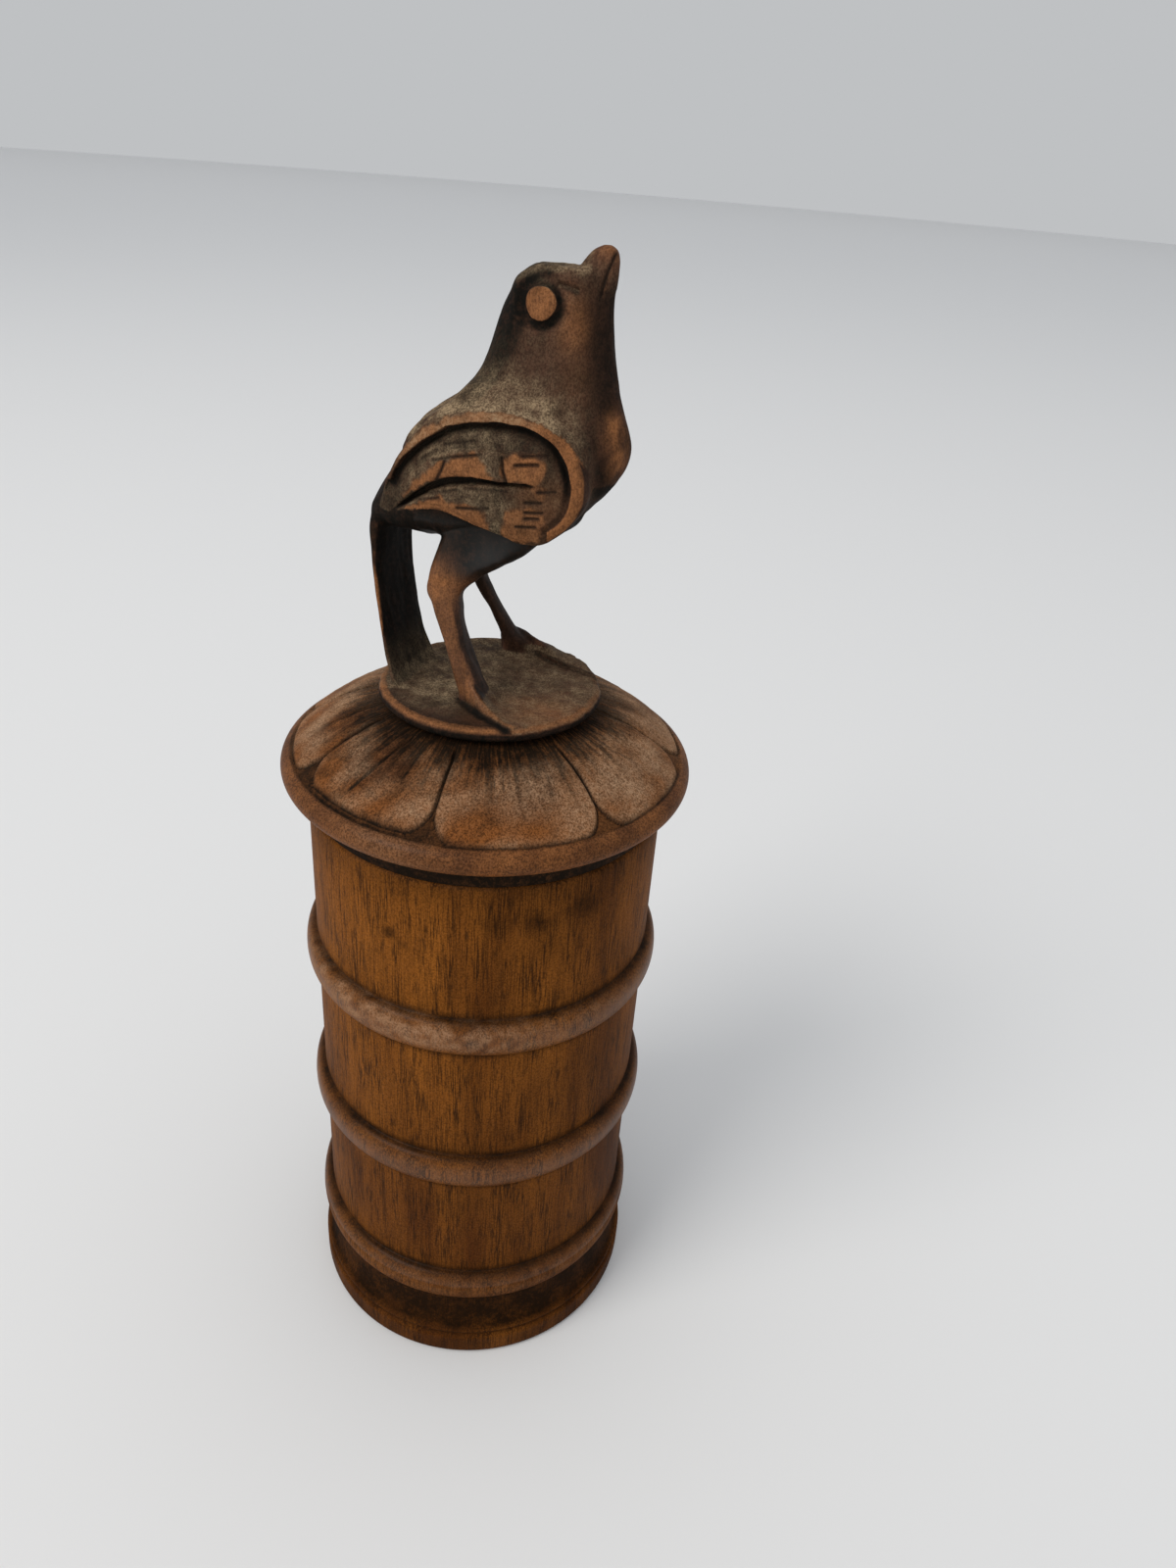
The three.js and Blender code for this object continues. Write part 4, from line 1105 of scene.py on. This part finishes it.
def mix(tree, share, one, two):
    """A colour share of the way from one to two."""
    return add(tree, "Mix", {0: share, 6: one, 7: two}, data_type="RGBA").outputs[2]


def stretch(tree, value, low, high, to_low=0.0, to_high=1.0):
    """Maps low to high onto another range, smoothly and without leaving it."""
    inputs = {0: value, 1: low, 2: high, 3: to_low, 4: to_high}
    return add(tree, "MapRange", inputs, interpolation_type="SMOOTHSTEP").outputs[0]


def noise(tree, place, scale, detail=3.0, roughness=0.55):
    """Blender's noise at a place, scale counted per metre."""
    inputs = {"Vector": place, "Scale": scale, "Detail": detail, "Roughness": roughness}
    return add(tree, "TexNoise", inputs).outputs["Fac"]


def scaled(tree, place, x, y, z):
    """A place with each axis stretched."""
    return add(tree, "VectorMath", {0: place, 1: (x, y, z)}, operation="MULTIPLY").outputs[0]


def node_group(name, inputs, outputs):
    """An empty node group with named sockets, and its input and output nodes."""
    tree = bpy.data.node_groups.new(name, "ShaderNodeTree")
    kinds = {"vector": "NodeSocketVector", "colour": "NodeSocketColor", "number": "NodeSocketFloat"}
    for way, sockets in (("INPUT", inputs), ("OUTPUT", outputs)):
        for socket, kind in sockets.items():
            tree.interface.new_socket(name=socket, in_out=way, socket_type=kinds[kind])
    return tree, tree.nodes.new("NodeGroupInput").outputs, tree.nodes.new("NodeGroupOutput").inputs


def put_out(tree, sockets, **values):
    """Joins each value to the socket of that name."""
    for name, value in values.items():
        tree.links.new(value, sockets[name.replace("_", " ")])


def line_at(tree, value, level, width):
    """1 where a value passes through a level and 0 from a width away: thin lines out of noise."""
    return stretch(tree, calc(tree, "ABSOLUTE", calc(tree, "SUBTRACT", value, level)), 0.0, width, 1.0, 0.0)


# %% Fibres of the wood
fibres, given, result = node_group("wood_fibres", {"Place": "vector"}, {
    "Bands": "number", "Lines": "number", "Grain": "number", "Patchy": "number"})


def fibre_noise(along, *settings):
    """Noise drawn out along the axis, by 1 / along."""
    return noise(fibres, scaled(fibres, given["Place"], 1, 1, along), *settings)


lines = line_at(fibres, fibre_noise(0.045, 1450, 2, 0.6), 0.49, 0.1)
fading = stretch(fibres, fibre_noise(0.25, 330, 3, 0.6), 0.33, 0.67, 0.25, 1.0)
put_out(fibres, result, Bands=stretch(fibres, fibre_noise(0.12, 95, 3, 0.6), 0.32, 0.68),
        Lines=calc(fibres, "MULTIPLY", lines, fading), Grain=fibre_noise(0.75, 2300, 3, 0.85),
        Patchy=noise(fibres, given["Place"], 620, 5, 0.8))
print(fibres.name, len(fibres.nodes), "nodes")

# %% Wear, grime, dust and painted light and shade over the wood
aged, given, result = node_group("aged_wood_and_painted_light", {
    "Place": "vector", "Light wood": "colour", "Dark wood": "colour", "Worn and lit": "colour", "Grime and shade": "colour",
    "Dust and highlight": "colour", "Extra grime": "number", "Line share": "number", "Speckle share": "number"
}, {"Color": "colour", "Roughness": "number", "Height": "number", "Gloss": "number"})
wood = add(aged, "Group", {"Place": given["Place"]}, node_tree=fibres).outputs
# The grime mask also carries painted shade, the worn and dust masks carry painted highlights, and the tone
# mask carries painted light and shade.
masks = {name: add(aged, "Attribute", attribute_name=name).outputs["Fac"]
         for name in ("wear_and_highlight", "grime", "dust", "tone", "polish")}


def times(one, two):
    """The product of two numbers in the aged wood."""
    return calc(aged, "MULTIPLY", one, two)


def grainy(mask, grains, spread):
    """A mask whose strength goes up and down with the grains: mask (1 + spread (2 g - 1))."""
    swing = calc(aged, "MULTIPLY_ADD", grains, 2 * spread)
    swing.node.inputs[2].default_value = 1 - spread
    return calc(aged, "MULTIPLY", mask, swing, clamp=True)


light_grains = stretch(aged, wood["Grain"], 0.38, 0.62)
dark_grains = stretch(aged, wood["Grain"], 0.53, 0.42)
patches = stretch(aged, wood["Patchy"], 0.33, 0.67)
banded = times(calc(aged, "SUBTRACT", wood["Bands"], 0.5), 0.35)
tone = calc(aged, "ADD", masks["tone"], banded, clamp=True)
grime_and_shade_share = grainy(calc(aged, "ADD", masks["grime"], given["Extra grime"]), patches, 0.2)
dust_and_highlight_share = grainy(grainy(masks["dust"], light_grains, 0.6), patches, 0.45)
speckled = times(given["Speckle share"], stretch(aged, masks["dust"], 0.0, 0.5, 0.12, 0.55))
specks = times(speckled, stretch(aged, wood["Grain"], 0.52, 0.62))
colour = mix(aged, tone, given["Dark wood"], given["Light wood"])
for share, over in ((grainy(masks["wear_and_highlight"], patches, 0.3), "Worn and lit"),
                    (times(wood["Lines"], given["Line share"]), "Grime and shade"),
                    (times(dark_grains, given["Speckle share"]), "Grime and shade"),
                    (grime_and_shade_share, "Grime and shade"), (dust_and_highlight_share, "Dust and highlight"),
                    (times(specks, calc(aged, "SUBTRACT", 1.0, grime_and_shade_share)), "Dust and highlight")):
    colour = mix(aged, share, colour, given[over])
dull = calc(aged, "ADD", dust_and_highlight_share, times(grime_and_shade_share, 0.3))
dull = calc(aged, "SUBTRACT", dull, times(masks["polish"], 0.6))
height = calc(aged, "SUBTRACT", times(wood["Grain"], 0.8), times(wood["Lines"], 0.3))
gloss = calc(aged, "MULTIPLY", masks["polish"], calc(aged, "SUBTRACT", 0.85, dust_and_highlight_share), clamp=True)
roughness = stretch(aged, dull, -0.5, 0.8, 0.38, 0.85)
put_out(aged, result, Color=colour, Roughness=roughness, Height=height, Gloss=gloss)
print(aged.name, len(aged.nodes), "nodes")

# %% Short streaks that run out from the axis
rays, given, result = node_group(
    "rays_from_axis", {"Place": "vector"}, {"Rays": "number", "Radius": "number"})
flat = scaled(rays, given["Place"], 1, 1, 0)
distance = add(rays, "VectorMath", {0: flat}, operation="LENGTH").outputs["Value"]
direction = add(rays, "VectorMath", {0: flat}, operation="NORMALIZE").outputs[0]
outward_step = add(rays, "CombineXYZ", {2: calc(rays, "MULTIPLY", distance, 2.2)}).outputs[0]
place = add(rays, "VectorMath", {0: direction, 1: outward_step}, operation="ADD").outputs[0]
thin_rays = line_at(rays, noise(rays, place, 26, 2, 0.5), 0.5, 0.03)
broad_rays = stretch(rays, noise(rays, place, 52, 4, 0.7), 0.36, 0.74)
put_out(rays, result, Rays=calc(rays, "MAXIMUM", broad_rays, thin_rays), Radius=distance)
print(rays.name, len(rays.nodes), "nodes")


# %% Materials of the three pieces
def wood_material(name, colours, line_share, speckle_share, rays_share=0.0):
    """Aged wood on a Principled BSDF, with its own colours, lines and speckles."""
    material = bpy.data.materials.new(name)
    material.use_nodes = True
    tree = material.node_tree
    shader = tree.nodes["Principled BSDF"]
    place = add(tree, "TexCoord").outputs["Object"]
    wood = add(tree, "Group", {"Place": place}, node_tree=aged)
    for socket, value in zip(("Light wood", "Dark wood", "Worn and lit", "Grime and shade", "Dust and highlight"), colours):
        wood.inputs[socket].default_value = srgb(*value)
    wood.inputs["Line share"].default_value = line_share
    wood.inputs["Speckle share"].default_value = speckle_share
    if rays_share:
        ray = add(tree, "Group", {"Place": place}, node_tree=rays).outputs
        near = stretch(tree, ray["Radius"], 0.025, 0.046, rays_share, 0.08)
        put_out(tree, wood.inputs, Extra_grime=calc(tree, "MULTIPLY", ray["Rays"], near))
    bumped = add(tree, "Bump", {"Strength": 0.8, "Distance": 0.0001, "Height": wood.outputs["Height"]})
    put_out(tree, shader.inputs, Base_Color=wood.outputs["Color"], Roughness=wood.outputs["Roughness"],
            Coat_Weight=wood.outputs["Gloss"], Normal=bumped.outputs["Normal"])
    shader.inputs["Coat Roughness"].default_value = 0.3
    shader.inputs["Specular IOR Level"].default_value = 0.03
    print(name, len(tree.nodes), "nodes")
    return material


# Colours of the light wood, dark wood, worn and lit places, grime and painted shade, and dust with painted
# highlights.
pot.data.materials.append(wood_material(
    "waxed_pot_wood", ((136, 80, 26), (80, 41, 9), (124, 76, 38), (30, 16, 5), (144, 108, 80)),
    line_share=0.85, speckle_share=0.45))
lid.data.materials.append(wood_material(
    "dry_lid_wood", ((146, 92, 50), (94, 56, 30), (136, 80, 36), (26, 18, 11), (166, 132, 102)),
    line_share=0.25, speckle_share=0.62, rays_share=0.6))
bird.data.materials.append(wood_material(
    "stained_bird_wood", ((94, 62, 47), (52, 34, 24), (150, 98, 60), (20, 18, 15), (148, 126, 98)),
    line_share=0.3, speckle_share=0.4))

# %% [markdown]
# ## Floor and light
# The photograph was taken by soft daylight from the upper left, with the far side darker. A wide
# pale floor, a pale world and one large soft lamp give the same at a plain level, so that a
# colour renders about as it is written. The background's colour is set for camera rays only.

# %% Floor
floor_reach, floor_top, floor_bottom = 9000, -0.02, -4
floor_profile = [
    [0.05, floor_bottom], [floor_reach, floor_bottom], [floor_reach, floor_top], [0.05, floor_top]]
floor_grid = turn(floor_profile, np.linspace(0, 2 * np.pi, 96, endpoint=False))
floor = bpy.data.objects.new("pale_floor", mesh_from("pale_floor", *closed_grid(floor_grid)))
bpy.context.scene.collection.objects.link(floor)
floor_paint = bpy.data.materials.new("pale_floor")
floor_paint.use_nodes = True
floor_shader = floor_paint.node_tree.nodes["Principled BSDF"]
floor_shader.inputs["Base Color"].default_value = srgb(230, 229, 227)
floor_shader.inputs["Roughness"].default_value = 0.8
floor.data.materials.append(floor_paint)
print("floor", floor_reach / 1000, "m in radius")

# %% World and lamp
bpy.context.scene.view_settings.view_transform = "Standard"
world = bpy.data.worlds.new("soft_room")
bpy.context.scene.world = world
world.use_nodes = True
sky = world.node_tree
background = sky.nodes["Background"]
seen = add(sky, "LightPath").outputs["Is Camera Ray"]
sky.links.new(mix(sky, seen, (0.64, 0.66, 0.69, 1), srgb(191, 193, 195)), background.inputs["Color"])
background.inputs["Strength"].default_value = 1.0


def soft_lamp(name, place, target, size, power, colour, spread=80):
    """A square lamp at a place in metres, turned to the target. It shines within the spread, in
    degrees, and its axes are across, upwards and away from the target."""
    light = bpy.data.lights.new(name, "AREA")
    light.size, light.energy, light.color, light.spread = size, power, colour, math.radians(spread)
    back = np.array(place, float) - target
    back /= np.linalg.norm(back)
    side = np.cross([0, 0, 1], back)
    side /= np.linalg.norm(side)
    put(name, light, [side, np.cross(back, side), back], place)
    print(name, power, "W")


soft_lamp("window", (-2.6, -1.8, 2.9), (0, 0, 0.15), 2.3, 20.6, (1.0, 0.98, 0.95))

# %% [markdown]
# ## Sizes
# The visual pieces take their sizes from the imported model. The visual pieces must keep to
# the imported model's box.

# %% Finish
bpy.context.view_layer.update()
